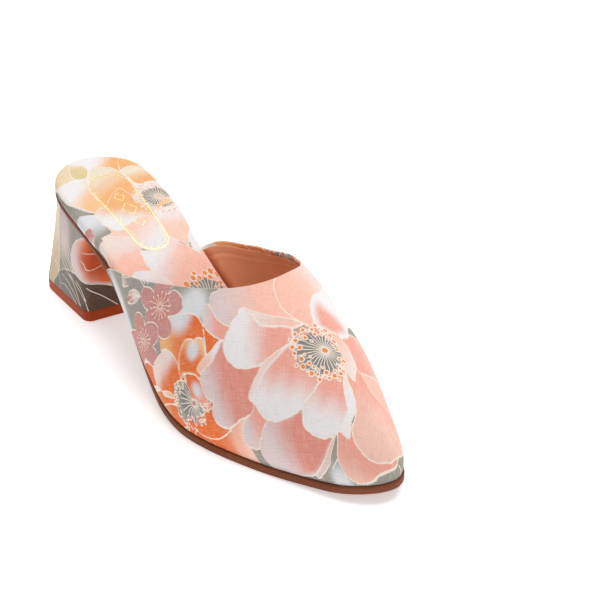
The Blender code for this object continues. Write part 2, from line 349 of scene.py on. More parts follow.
def distanceTo(curve, p, q, closed=True):
    ends = np.roll(curve, -1, 0) if closed else curve[1:]
    starts = curve if closed else curve[:-1]
    nearest = np.full(p.shape, 1e9)
    inside = np.zeros(p.shape, bool)
    for (ax, ay), (bx, by) in zip(starts, ends):
        dx, dy = bx - ax, by - ay
        t = np.clip(((p - ax) * dx + (q - ay) * dy) / (dx * dx + dy * dy + 1e-12), 0, 1)
        nearest = np.minimum(nearest, (p - ax - t * dx) ** 2 + (q - ay - t * dy) ** 2)
        if closed and by != ay:
            crosses = ((ay > q) != (by > q)) & (p < dx * (q - ay) / (by - ay) + ax)
            inside ^= crosses
    return np.sqrt(nearest), inside


# The dye turns from deep to pale between two places; rim is the width of a pale edge, and over says that the
# petal lies over a flower's heart
def paintPetal(paint, points, deep, pale, fromPlace, toPlace, rim=0.0, waves=0.0, over=False):
    curve = ruffle(smoothLine(points), waves, points[0])
    low, high = curve.min(0) - 2, curve.max(0) + 2
    near = (paint["p"] > low[0]) & (paint["p"] < high[0]) & (paint["q"] > low[1]) & (paint["q"] < high[1])
    if not near.any():
        return
    p, q = paint["p"][near], paint["q"][near]
    away, inside = distanceTo(curve, p, q)
    dx, dy = toPlace[0] - fromPlace[0], toPlace[1] - fromPlace[1]
    fade = ((p - fromPlace[0]) * dx + (q - fromPlace[1]) * dy) / (dx * dx + dy * dy)
    fade = ease(0, 1, fade + 0.05 * np.sin(p * 0.7 + q * 0.4))
    if rim:
        fade = 1 - (1 - fade) * ease(0, rim, away)
    tone = np.array(dyes[deep]) * (1 - fade)[:, None] + np.array(dyes[pale]) * fade[:, None]
    paint["colour"][near] = np.where(inside[:, None], tone, paint["colour"][near])
    if over:
        paint["open"][near] = np.where(inside, 0.0, paint["open"][near])
    paint["line"][near] = np.where(inside, away, np.minimum(paint["line"][near], away))


def paintPetals(paint, petals):
    for petal in petals:
        paintPetal(paint, *petal)


def paintGlow(paint, centre, radii, dye, strength=1.0):
    r = np.hypot((paint["p"] - centre[0]) / radii[0], (paint["q"] - centre[1]) / radii[1])
    cover = (ease(1.0, 0.35, r) * strength)[..., None]
    paint["colour"] = paint["colour"] * (1 - cover) + np.array(dyes[dye]) * cover


# Open lines, drawn thinner than the petals' edges by twice the given width
def paintVeins(paint, veins, thinner=0.0):
    for vein in veins:
        away, _ = distanceTo(smoothLine(vein, closed=False), paint["p"], paint["q"], closed=False)
        paint["line"] = np.minimum(paint["line"], away + thinner)


# Dots with an outline, over a flower's heart
def paintDots(paint, dots, dye):
    spread = 0.08
    for p, q, radius in np.array(dots).reshape(-1, 3):
        away = np.hypot(paint["p"] - p, paint["q"] - q) - radius
        inside = away < spread
        paint["colour"][inside] = dyes[dye]
        paint["open"][away < 0.3] = 0.0
        paint["line"] = np.where(inside, spread - away, np.minimum(paint["line"], (away - spread) * 0.8))


# Five petals round a centre, each drawn by turns from its middle and shares of the radius
blossomShape = ((-0.2, 0.10), (-0.62, 0.62), (-0.50, 0.90), (-0.2, 1.0), (0.0, 0.94), (0.2, 1.0),
                (0.50, 0.90), (0.62, 0.62), (0.2, 0.10))


def paintBlossom(paint, centre, radius, turn, deep, pale):
    for k in range(5):
        a = turn + k * 2 * math.pi / 5
        tip = (centre[0] + math.cos(a) * radius, centre[1] + math.sin(a) * radius)
        drawn = []
        for part, reach in blossomShape:
            drawn += [centre[0] + math.cos(a + part) * reach * radius,
                      centre[1] + math.sin(a + part) * reach * radius]
        paintPetal(paint, drawn, deep, pale, centre, tip, 0.0, 0.25)


# Petals are (outline, deep and pale dye, the two places between which the dye turns, width of a pale rim,
# height of the waves), the furthest back first; places on the upper are (along, over from the ridge), and the
# inner side of the foot is +. These lie on the inner side and at the toe's tip
innerPetals = [
    ((146, 96, 149, 78, 156, 66, 165, 57, 176, 53, 187, 53, 196, 56, 200, 62, 199, 72, 193, 82, 182, 90, 165,
      96), "amber", "sand", (172, 76), (178, 54), 0, 0.3),
    ((176, 94, 173, 82, 175, 68, 180, 58, 188, 52, 197, 54, 203, 60, 205, 68, 201, 78, 193, 86), "umber",
      "sand", (186, 104), (192, 62), 1, 0.3),
    ((203, 74, 206, 64, 213, 55, 222, 46, 232, 38, 240, 30, 243, 33, 239, 42, 231, 52, 221, 62, 211, 71),
      "umber", "slate", (232, 42), (208, 68)),
    ((196, 52, 202, 44, 209, 40, 216, 40, 214, 47, 208, 55, 203, 60), "slate", "mist", (205, 50), (214, 42)),
    ((68, 98, 74, 88, 80, 80, 86, 76, 92, 76, 92, 84, 88, 94, 82, 100), "cream", "white", (86, 80), (78, 92),
      0, 0.2),
    ((84, 84, 88, 76, 94, 69, 100, 64, 104, 59, 107, 64, 106, 76, 98, 86, 90, 90), "orange", "amber",
      (100, 64), (96, 82), 0.8, 0.3),
    ((103, 62, 108, 56, 116, 47, 120, 54, 120, 66, 114, 74, 106, 74), "orange", "amber", (110, 56),
      (114, 68), 0.8, 0.4),
    ((116, 50, 122, 42, 130, 36, 140, 30, 150, 26, 154, 34, 150, 46, 140, 56, 128, 60, 119, 58), "flame",
      "cream", (130, 40), (138, 56), 0.8, 0.4),
    ((147, 30, 150, 25, 156, 18, 162, 22, 163, 34, 162, 46, 154, 50, 147, 44), "flame", "amber", (153, 28),
      (158, 46), 0.8, 0.4),
    ((136, 54, 144, 48, 151, 52, 155, 62, 154, 76, 146, 86, 136, 84, 130, 74, 131, 62), "flame", "white",
      (144, 58), (140, 80), 1, 0.5),
]
innerVeins = [
    (205, 71, 217, 56, 229, 45, 241, 33), (206, 68, 216, 53, 227, 43, 238, 34),
    (209, 70, 221, 58, 232, 48, 239, 40), (199, 54, 205, 47, 213, 42), (201, 57, 207, 50, 214, 44),
    (164, 92, 164, 78, 170, 64), (188, 84, 190, 70, 187, 58), (92, 92, 96, 80, 102, 68),
    (144, 82, 145, 70, 143, 60),
]
toePetals = [
    ((232, 22, 240, 17, 246, 13, 250, 10, 250, 16, 244, 26, 236, 30), "slate", "mist", (240, 20), (244, 26),
      0, 0.2),
]

# Petals that the camera sees, over those of the inner side
upperPetals = [
    ((146, -43, 149, -40.5, 152, -37.5, 156, -35.4, 160, -35.2, 164, -36.8, 168, -39.5, 170, -45, 166, -57,
      160, -58, 155, -56, 149.7, -56.4, 147.3, -59, 145.4, -57.9, 144, -56, 145, -51, 143, -46), "flame",
      "amber", (155, -45), (146, -53), 0, 0.3),
    ((106.6, -64.8, 107.4, -67.1, 108.2, -68.1, 110.3, -65.9, 112.6, -62.3, 112.7, -60, 111.9, -59.6, 110.1,
      -61.8), "ground", "lilac", (111, -61), (108, -67)),
    ((121.9, -56.8, 120, -57, 116.9, -59.3, 114.5, -62.9, 113.4, -66.2, 113.5, -68.5, 114.5, -68.3, 117.5,
      -65.1, 120.4, -60.8, 121.7, -57.5), "petalPink", "lilac", (116, -66), (117, -60)),
    ((129.4, -48, 127.5, -48.2, 125.1, -49.6, 122.8, -51.7, 122.2, -53.7, 122.4, -55.5, 123.4, -56.7, 125.3,
      -57.2, 127.4, -56.9, 129.6, -55.9, 129.8, -55.8, 129.1, -57.5, 129.6, -59.4, 130.7, -61.7, 133, -60,
      136.1, -57.5, 139.6, -55.2, 140.7, -56.4, 142.9, -56.2, 145.6, -55, 147.7, -53.1, 148.8, -50.9, 148.6,
      -48.8, 147, -47.5, 145, -46.9, 142.9, -47.1, 145, -45, 147, -42.4, 147.7, -40.1, 147.5, -38.2, 146,
      -37.8, 145.4, -36.9, 143.2, -36.7, 140.1, -37.3, 138.4, -38.8, 137.2, -41.6, 137, -39.5, 137.2, -36,
      133, -35, 129.5, -39, 128.3, -44.6, 128.6, -46.6), "petalPink", "petalPink", (136, -48), (145, -40)),
    ((130.5, -62.1, 128.6, -61, 126.5, -61, 124.2, -62, 122, -64.3, 121.2, -66.6, 120.9, -69.1, 121.5, -70.5,
      122.9, -71.6, 120.1, -74.2, 115.3, -80.9, 108, -91, 106, -97, 116.5, -97, 122.4, -93, 131.3, -79.8,
      134.3, -74, 138.8, -72.1, 143.5, -69.3, 144.1, -66.8, 145.5, -64, 145, -62.5, 143.2, -62.1, 140.4,
      -62.8, 141.5, -60.6, 142.6, -57.7, 142.2, -56.4, 140.4, -56, 140.2, -54.6, 137.3, -55.1, 134.7, -56.8,
      131.9, -59.6), "petalPink", "petalPink", (131, -68), (140, -60)),
    ((161, -35.2, 166, -34.6, 173, -32, 173, -36, 172, -42, 169, -40, 166, -38), "flame", "flame",
      (166, -36), (175, -36)),
    ((160.6, -54.9, 159.3, -53.6, 158.1, -51.5, 157.6, -49.1, 157.6, -46.2, 158.4, -44.4, 159.7, -43.2,
      160.7, -42.6, 161.9, -42.5, 161.7, -41.4, 162.9, -39.6, 164.7, -38.7, 165.9, -39.2, 167.2, -39.9,
      169.4, -41.4, 170.9, -42.6, 170.3, -44.2, 170.1, -46.2, 170.4, -48.3, 173.1, -47.8, 173.4, -50, 170.3,
      -50.8, 167.8, -52.2, 165.7, -54.2, 164.4, -55.1, 164.4, -56.9, 163.9, -58, 161.8, -56.3), "flame",
      "apricot", (165, -49), (161, -41), 1.2),
    ((140, -71, 147, -75, 155, -72, 163, -66, 166, -73, 176, -74, 182, -82, 160, -95, 140, -98, 128, -98,
      131, -80), "flame", "amber", (158, -74), (138, -84)),
    ((134, -76, 140, -71.5, 142.6, -70.4, 143.5, -71.7, 144.5, -73.7, 146.2, -75.2, 144.3, -78.2, 134.4,
      -88.6, 129.7, -91, 123.7, -97, 119, -97, 127.2, -85.7), "flame", "coral", (142, -74), (128, -90)),
    ((133, -95, 140.8, -84.6, 151, -74.3, 153.9, -74, 159.3, -70.2, 163, -67.3, 162.8, -69.7, 160.3, -72.5,
      155.6, -76.7, 146, -88.4, 139.8, -98), "flame", "sand", (156, -73), (137, -92)),
    ((139.9, -98.2, 144.6, -89.8, 155.6, -76.9, 160.3, -72.5, 164.4, -69.9, 165.1, -72.8, 166.5, -77.2,
      167.1, -78.7, 164.1, -83.7, 158.8, -92, 150, -99), "flame", "sand", (163, -77), (149, -87), 0, 0.2),
    ((129.9, -94, 139.9, -82.6, 148.8, -74.4, 150.3, -74.2, 140.8, -84.6, 133, -95), "cream", "lilac",
      (148, -75), (136, -88)),
    ((149.7, -56.4, 147.9, -59.2, 146.1, -62.8, 144.8, -65.6, 143.8, -68.2, 143.5, -71.4, 145, -73.3, 147.3,
      -74.2, 150, -74.1, 152.7, -73.3, 157.5, -69, 162.1, -67.1, 161.7, -61.9, 163.2, -59.2, 163.9, -58,
      161.8, -56.3, 159.5, -55.1, 157, -54.5, 153.7, -54.8), "flame", "pale", (158, -62.5), (151.5, -60), 0,
      0.2),
    ((152.4, -73.6, 155.6, -70.5, 158.1, -68.5, 160.4, -67.5, 163, -67.2, 159.3, -70.2, 155.4, -72.6),
      "amber", "cream", (162, -68), (154, -73)),
    ((183, -50, 184, -54.5, 187, -57, 191, -55.5, 194, -52.5, 197, -46, 199.5, -42, 200, -48, 203.5, -52,
      206, -58, 198, -63, 190, -70, 182, -76, 172, -82, 170, -74, 174, -66, 180, -60), "flame", "peach",
      (188, -61), (204, -54)),
    ((164.8, -82.3, 167.5, -77.8, 171.1, -74.1, 167.9, -80.9), "sand", "sand", (165, -80), (170, -76)),
    ((165.5, -54.4, 167.9, -52.3, 170.3, -50.8, 173.5, -50.5, 178, -52.5, 183, -54, 181, -57, 177.2, -57.5,
      175.2, -57.7, 172.7, -59.1, 171, -57.5, 167.8, -56.7), "flame", "rose", (168, -53), (180, -55.5), 0,
      0.2, True),
    ((157, -28.3, 156.7, -31, 158.5, -33.3, 162, -34.8, 166, -34.6, 170, -33.5, 173, -31.8, 173, -28, 171,
      -26, 168, -27.6, 162, -28.2), "rose", "lilac", (167, -29), (162, -34.5), 0.9, 0.2),
    ((160, 10, 166, 1.5, 172, -2.5, 180, -4, 187, -2, 190, -1, 188, -10, 176, -18, 173, -24, 171, -26.5, 166,
      -28.4, 161, -28.6, 157, -27.3, 154.8, -24.8, 156, -20, 150, -14, 150, 0), "salmon", "lilac", (173, -8),
      (161, -27), 0, 0.2),
    ((199.5, -36, 203, -36, 208, -34, 207.5, -40, 207.5, -46, 206, -49.5, 203.5, -51.5, 200.5, -52, 198.5,
      -47, 199.5, -41), "rose", "lilac", (205, -39), (201, -47), 0, 0.3),
    ((207, -35.3, 210, -32, 212.5, -28, 214.5, -24, 215.5, -19, 218, -21, 224, -21, 229.5, -17, 231.5, -15,
      232.5, -21, 232.9, -26, 231.8, -31, 229.5, -35.5, 225, -41, 220, -46.5, 215, -50.5, 210, -51.5, 207.5,
      -48.5, 206.7, -44, 206.6, -39), "ruddy", "lilac", (220, -29), (214, -43), 1.6, 0.2),
    ((231.3, -15, 232.5, -17, 234, -21.5, 234.8, -24.5, 233.8, -29, 231.7, -34, 230.6, -34, 232.6, -26,
      232.2, -21), "blush", "lilac", (232, -18), (233, -30), 0, 0.3),
    ((171.8, -33, 173.5, -33, 174.5, -37, 174.8, -41, 173.8, -45, 172.6, -48.3, 170, -48, 170.2, -44, 171,
      -40, 171.5, -36), "blush", "white", (172, -44), (173, -37), 0, 0.3),
    ((173.5, -32, 181, -31, 190, -26, 193, -22, 198, -34, 199.7, -38, 199.6, -41, 198, -44, 195.5, -48.5,
      194, -52, 191.5, -55, 188.5, -56.3, 185.5, -56.5, 183.8, -54, 182.8, -51.5, 179, -52.8, 175.5, -51.3,
      173.3, -48.8, 172.9, -46, 174.5, -41, 174.2, -37), "ruddy", "lilac", (188, -41), (183, -52), 0, 0.5),
    ((189.5, -1.5, 187, -2.5, 184, -5.5, 181, -9, 178, -11.5, 174, -14.5, 169, -18, 174, -20, 182, -16, 188,
      -8), "blush", "pale", (186, -6), (175, -15), 0, 0.2),
    ((192, -7, 189, -6, 186, -9, 183.5, -12.5, 181, -15, 178, -16, 175, -15.5, 172, -17, 169, -18.5, 170.3,
      -21, 170.5, -24, 172, -27.5, 173, -30.5, 174.5, -33, 177.5, -34.7, 181, -35, 185, -34, 188, -31.5,
      190.5, -28.5, 192.5, -25, 194, -20, 195, -15, 196, -10), "rose", "white", (187, -14), (179, -26), 1.2,
      0.3),
    ((194.5, -10, 193.6, -15, 193, -20, 192.8, -24, 194, -30, 195.8, -36.7, 198.5, -36.3, 198, -31, 197, -26,
      197, -20, 197, -14), "blush", "pale", (195, -14), (195, -30), 0, 0.3),
    ((194.5, -9, 195, -19, 195.3, -26, 196.5, -31, 197.2, -36.7, 200, -36.3, 204, -36.8, 207, -35.5, 210,
      -33, 212.5, -29, 214.5, -25, 215.5, -20.5, 215.5, -15, 214.5, -9, 212, -6, 205, -8, 200, -9), "rose",
      "white", (200, -16), (209, -27), 1.2, 0.3),
    ((231.5, -13.5, 233.8, -15.9, 235.1, -17.6, 236.7, -19.4, 238.6, -20, 240.5, -20.3, 242, -20.3, 243.9,
      -19.3, 245.7, -17.6, 247.8, -13.2, 248.9, -9.5, 249.3, -6.5, 249.9, -3, 250.1, 0.4, 249.5, 2.9, 248.3,
      4.6, 246.5, 5.5, 240, 0, 234, -6, 231, -10), "rose", "blush", (241, -11), (246, -18)),
    ((213, 0, 215, 2, 218, 0.5, 223, -1.8, 226.5, -3.3, 229.5, -5.3, 231.5, -8.5, 234, -10.5, 235.9, -11,
      232, -13, 231.3, -16, 229.5, -19, 227, -21.7, 224, -23.3, 221, -24.2, 218, -23, 216.3, -21.3, 215, -20,
      215, -16, 214, -11, 212, -5), "rose", "white", (217, -6), (225, -17), 0.8, 0.4),
    ((213.5, 12.3, 213, 16, 211, 22, 209, 28, 209, 38, 225, 34, 240, 24, 235, 15, 226, 12, 219, 9), "salmon",
      "blush", (218, 15), (222, 32), 0.8, 0.3),
    ((213, 2, 213, 11, 219, 11, 223.5, 11, 228, 17, 236, 20.5, 241, 17, 244.8, 11.6, 246.7, 7.3, 248, 3.6,
      248.7, 1.5, 248.9, -0.2, 248.5, -1.3, 248.2, -2.9, 247.2, -5.2, 245.8, -7, 243.7, -8.5, 241.4, -9.2,
      239.2, -9.7, 237, -9.4, 235.2, -8.6, 234, -7.6, 232.8, -5.8, 230.7, -3.4, 228.9, -2.3, 224, -0.8, 218,
      0.6), "rose", "blush", (216, 9), (238, 1), 0, 0.1),
    ((214.5, 3, 218, 1.4, 224, 0, 228.5, -2, 231, -4.8, 233, -7.7, 236, -10.8, 231.5, -11.5, 229.8, -8, 228,
      -5.5, 225, -4.3, 222, -2.8, 218, -0.5), "pale", "white", (216, 1), (224, -2), 0, 0.3),
    ((197, 12, 195.5, 17, 193.5, 21, 191, 24, 188, 30, 184, 46, 205, 46, 209, 36, 209.3, 28, 211, 22, 213,
      16, 213.5, 11, 208, 9, 201, 9), "rose", "blush", (202, 18), (207, 36), 1.2, 0.2),
    ((190, 0, 187, -1.7, 180, -4, 172, -2.5, 166, 1, 158, 12, 153, 20, 153, 29, 157, 36, 161, 33, 165, 28.5,
      171, 19.5, 175, 14.5, 179, 10.5, 183, 7.5, 192, 4, 192, 1), "salmon", "pale", (169, 10), (155, 25), 0,
      0.2),
    ((198, 12, 195.5, 17, 193.5, 21, 191, 24, 186, 28, 181, 34, 176, 42, 165, 46, 154, 44, 161, 33, 165,
      28.5, 171, 19.5, 175, 14.5, 179, 10.5, 183, 7.5, 187, 5.5, 192, 4, 196, 8), "rose", "white", (187, 15),
      (177, 24), 4.5, 0.2),
    ((195, 12, 200, 14.3, 205, 13.8, 209, 12.3, 213, 9.7, 216, 6.8, 219, 4, 214, 3, 208, 1, 198, 2), "blush",
      "pale", (205, 4), (211, 10), 0.8, 0.3),
]

# Dots of the large flower and of the smaller one: each is a place and a radius
roseDots = (
    190.6, 0.3, 0.38, 191.9, 3.6, 0.88, 192.1, -2.4, 0.87, 193.3, 1.1, 0.83, 193.3, -0.9, 0.5,
    193.8, 4.2, 0.52, 195.3, 4.4, 0.48, 194.7, 6.8, 0.89, 192.1, -6.3, 0.84, 193.4, -4.2, 0.61,
    195.7, 0.9, 0.83, 196.7, 3.3, 0.53, 197.2, 7.4, 0.91, 195.5, -3.6, 0.85, 194.7, -5.6, 0.54,
    198.6, 4.9, 0.59, 193.1, -9.4, 0.53, 194.6, -7.7, 0.95, 198, -2.1, 0.49, 200.1, 7.4, 0.98,
    196.1, -10.3, 0.99, 197.9, -7.9, 1, 202.1, 5.4, 0.42, 201.9, 7.9, 0.46, 204.3, 6, 0.72, 198.6, -11, 0.81,
    201.3, -7.8, 0.46, 203.3, -6.4, 0.41, 200.4, -11.6, 0.34, 202.1, -9.9, 1.03, 208.5, 4.1, 0.68,
    209.7, 5.4, 0.85, 205.3, -8.2, 0.8, 202.8, -13.1, 0.62, 204.8, -11.1, 1.07, 207.5, -7.6, 0.63,
    210.7, 1.6, 0.37, 211.6, 3.5, 0.47, 209.6, -4.6, 0.41, 209, -7, 0.57, 207.1, -10.5, 0.45,
    212.7, 1.5, 0.56, 212.8, -1, 0.54, 212, -4.5, 0.92, 209, -9.7, 1.01, 210.7, -7.9, 0.68, 214.8, 0.4, 0.85,
    214.6, -2.4, 1, 213.2, -6, 0.51, 214.5, -4.8, 0.69, 212.8, -8.4, 0.79, 216.8, -1.7, 0.53,
    203.6, 0.5, 1.29,
)
orangeDots = (
    165.5, -55.3, 0.47, 165.5, -58, 0.55, 166.8, -56.2, 0.41, 163.4, -60.7, 0.5, 161.8, -62.7, 0.59,
    164.8, -60.9, 0.5, 166.5, -59.4, 0.49, 163.1, -62.6, 0.37, 163.3, -64.6, 0.6, 165.3, -62.8, 0.44,
    164.7, -65.8, 0.61, 163.1, -69.3, 0.49, 165.5, -67.9, 0.65, 167, -69.8, 0.48, 167.8, -72.6, 0.8,
    172.2, -68.2, 0.79, 169.2, -74.5, 0.73, 171.3, -71.3, 0.77, 174.7, -66.3, 0.45, 173.1, -72.6, 0.51,
    175.9, -67.6, 0.77, 175.6, -70.9, 0.55, 177.6, -63.9, 0.79, 179.2, -64.9, 0.59, 179.7, -62.9, 0.42,
    181.3, -62.3, 0.56, 180.6, -60.5, 0.81, 178.7, -61.1, 0.48, 179.3, -58, 0.5, 177.9, -57.5, 0.4,
    179.6, -55.9, 0.39, 180.9, -54.9, 0.45, 181.9, -56.5, 0.39, 174.3, -59.9, 1.09,
)

# Lines drawn over the petals
upperVeins = [
    (247.4, -14.5, 249, -18), (244.8, -18.5, 246.4, -22.5), (241, -20.5, 242.5, -25),
    (194.2, -53.1, 191.6, -58.2, 188.8, -62.5, 185.8, -65.9, 182.3, -68.7, 178.1, -70.9, 176.3, -70.2),
    (182.3, -68.7, 185.4, -69.5, 187.5, -72), (176.1, -70.4, 174, -75.4, 173.6, -79),
    (163, -36, 166, -38.5, 170, -41.5), (121.9, -56.8, 118.2, -61.1, 114.6, -67.9),
    (121.3, -57.2, 117.5, -60.6, 114.4, -65), (118.6, -52.7, 122.3, -51.8), (119.9, -51.2, 122.6, -50.5),
    (121.9, -49.3, 124.2, -48.9), (236.7, -19.6, 236.5, -24), (249, 5, 249.5, 8),
]


def paintUpper(paint):
    paintGlow(paint, (152, -33), (10, 9), "mist")
    paintGlow(paint, (108, -80), (20, 9), "mist")
    paintGlow(paint, (241, -25), (7, 8), "mist")
    paintGlow(paint, (190, 60), (60, 14), "mist", 0.5)
    paintPetals(paint, innerPetals)
    paintVeins(paint, innerVeins)
    paintBlossom(paint, (226, 44), 11.0, 0.4, "amber", "sand")
    paintGlow(paint, (204, 0), (20, 18), "rose")
    paintPetals(paint, toePetals + upperPetals[:1])
    paintGlow(paint, (148, -41.5), (10, 10), "mist")
    paintPetals(paint, upperPetals[1:5])
    paintGlow(paint, (136.5, -48.5), (8, 7), "coral", 0.4)
    paintGlow(paint, (131.5, -68.5), (7, 7), "coral", 0.25)
    paintPetals(paint, upperPetals[5:])
    paintGlow(paint, (163.6, -45.2), (4.8, 5.2), "mist", 0.95)
    paintGlow(paint, (173.8, -54.4), (4.4, 3.4), "mist", 0.9)
    paintVeins(paint, upperVeins)
    paintDots(paint, roseDots, "orange")
    paintDots(paint, orangeDots, "mauve")


# Upper: printed cloth over a stiffener, lined with leather
upperSizes = {"columns": 246, "rows": 180, "rim": 1.45, "clothThick": 0.45,
              "hem": (4.5, 3.7, 3.0, 2.3, 1.6, 1.25, 0.9, 0.65, 0.4, 0.2), "foldSteps": 14,
              "turnIn": ((3.6, 0.30), (2.6, 0.30), (1.6, 0.30), (1.0, 0.30), (0.5, 0.29), (0.28, 0.25),
                         (0.12, 0.18), (0.04, 0.09))}


# Rows run from the hem inside over the rounded fold and on to the toe; each point has its place on the cloth
def makeUpperCloth():
    s = upperSizes
    across = np.linspace(-1, 1, 2 * s["columns"] + 1)
    along = 1 - (1 - np.linspace(0, 1, 2 * s["rows"] + 1)) ** 1.25
    one = np.ones_like(across)

    def row(value, shift=0.0):
        points, station, angle = upperAt(across, value * one, 0.0, shift)
        return points, np.stack([station, upperArc(station, angle, across)], -1)
    outer, edgePlace = row(0.0)
    further, furtherPlace = row(0.0, 1.0)
    inner = upperAt(across, 0 * one, s["rim"])[0]
    speed = np.linalg.norm(further - outer, axis=1, keepdims=True)
    forward = (further - outer) / speed
    middle, half = (outer + inner) / 2, (outer - inner) / 2
    radius = np.linalg.norm(half, axis=1, keepdims=True)
    inward = furtherPlace - edgePlace
    inward /= np.linalg.norm(inward, axis=1, keepdims=True)
    sheet = []
    places = []
    for reach in s["hem"]:
        sheet.append(upperAt(across, 0 * one, s["rim"], reach / speed[:, 0])[0])
        places.append(edgePlace - inward * (reach + 1.5 * s["rim"]))
    for turn in np.linspace(math.pi, 0, s["foldSteps"] + 1)[:-1]:
        sheet.append(middle + half * math.cos(turn) - forward * radius * math.sin(turn))
        places.append(edgePlace - inward * s["rim"] / 2 * turn)
    for value in along[:-1]:
        points, place = row(value)
        sheet.append(points)
        places.append(place)
    toe = upperAt(across, one, 0.0)[0]
    sheet.append(0 * toe + toe.mean(0))
    places.append(np.stack([last["length"] - last["toeSetback"] * one, 0 * one], -1))
    return np.array(sheet), np.array(places), along


# Columns that carry the cloth's two long edges in under the foot
def addTurnIn(sheet, places, along):
    left, right, leftPlace, rightPlace = [], [], [], []
    count = len(sheet) - len(along)
    values = np.concatenate([np.zeros(count), along])
    for inset, drop in upperSizes["turnIn"]:
        sides = []
        for side, edge in ((-1.0, sheet[:, 0]), (1.0, sheet[:, -1])):
            points = upperAt(np.full(len(values), side), values, inset)[0] - np.array([0, 0, drop])
            points[:count] = edge[:count] + (points[count] - edge[count])
            points[-1] = sheet[-1, 0] - np.array([inset * 0.5, 0, drop])
            sides.append(points)
        left.append(sides[0])
        right.insert(0, sides[1])
        leftPlace.append(places[:, 0] - np.array([0, inset]))
        rightPlace.insert(0, places[:, -1] + np.array([0, inset]))
    sheet = np.concatenate([np.stack(left, 1), sheet, np.stack(right, 1)], 1)
    places = np.concatenate([np.stack(leftPlace, 1), places, np.stack(rightPlace, 1)], 1)
    return sheet, places


# Outward direction at each point of a laid sheet
def sheetNormals(points):
    down = np.gradient(points, axis=0)
    over = np.gradient(points, axis=1)
    normal = np.cross(down, over)
    return normal / (np.linalg.norm(normal, axis=-1, keepdims=True) + 1e-12)


# Fewer faces on a hidden sheet, with its border kept
def thinInside(piece, ratio):
    bpy.ops.object.mode_set(mode="EDIT")
    bpy.ops.mesh.select_mode(type="VERT")
    selectBorder()
    bpy.ops.mesh.select_all(action="INVERT")
    bpy.ops.mesh.decimate(ratio=ratio)
    bpy.ops.object.mode_set(mode="OBJECT")
    print(piece.name, len(piece.data.polygons), "faces left")


# Joins the face of the cloth to its back round their edges
def bridgeSheets(face, back):
    bpy.ops.object.select_all(action="DESELECT")
    back.select_set(True)
    face.select_set(True)
    bpy.context.view_layer.objects.active = face
    bpy.ops.object.join()
    bpy.ops.object.mode_set(mode="EDIT")
    bpy.ops.mesh.select_mode(type="EDGE")
    selectBorder()
    bpy.ops.mesh.bridge_edge_loops()
    bpy.ops.mesh.select_mode(type="VERT")
    bpy.ops.mesh.select_all(action="SELECT")
    bpy.ops.mesh.normals_make_consistent(inside=False)
    bpy.ops.object.mode_set(mode="OBJECT")
    bpy.ops.object.shade_smooth()
    return face


def makeUpper():
    sheet, places = addTurnIn(*makeUpperCloth())
    paint = newPaint(places)
    paintUpper(paint)
    # Painted highlight: the cloth over the rounded fold of the topline is mixed toward the pale line dye,
    # standing in for light caught on the fold
    paintedFoldHighlight = np.interp(np.arange(len(sheet)), (14, 17, 20, 23), (0, 0.5, 0.5, 0))[:, None, None]  # painted highlight along the rounded fold
    paint["colour"] = paint["colour"] * (1 - paintedFoldHighlight) + np.array(dyes["line"]) * paintedFoldHighlight
    fine = lineCells(paint["line"], 0.55)
    fine[:2] = fine[-3:] = fine[:, :2] = fine[:, -2:] = False
    face, j, i = layGrid("upper_cloth", sheet, places, fine)
    keepPaint(face, j, i, paint)
    weldSeams(face)
    normal = sheetNormals(sheet)
    halfRow, halfColumn = len(sheet) // 2, sheet.shape[1] // 2
    if normal[halfRow, halfColumn] @ (sheet[halfRow, halfColumn] - sheet[halfRow].mean(0)) < 0:
        normal = -normal
    under = (sheet - normal * upperSizes["clothThick"])[::2, ::2]
    under[-1] = sheet[-1, ::2] - np.array([0.6, 0, -0.2])
    back, j, i = layGrid("clothBack", under, places[::2, ::2])
    backPaint = {key: paint[key][::2, ::2] for key in ("colour", "line", "open")}
    backPaint["line"] = backPaint["line"] + farFromLine
    keepPaint(back, j, i, backPaint)
    weldSeams(back)
    thinInside(back, 0.06)
    return bridgeSheets(face, back)


# Lining: a thin leather sheet with its top edge over the hem and a soft line where the stiffener ends
liningSizes = {"columns": 110, "rows": 90, "start": 1.7, "outerInset": 1.5, "thick": 0.5, "lineAt": 6.0,
               "creaseHeight": 0.24}


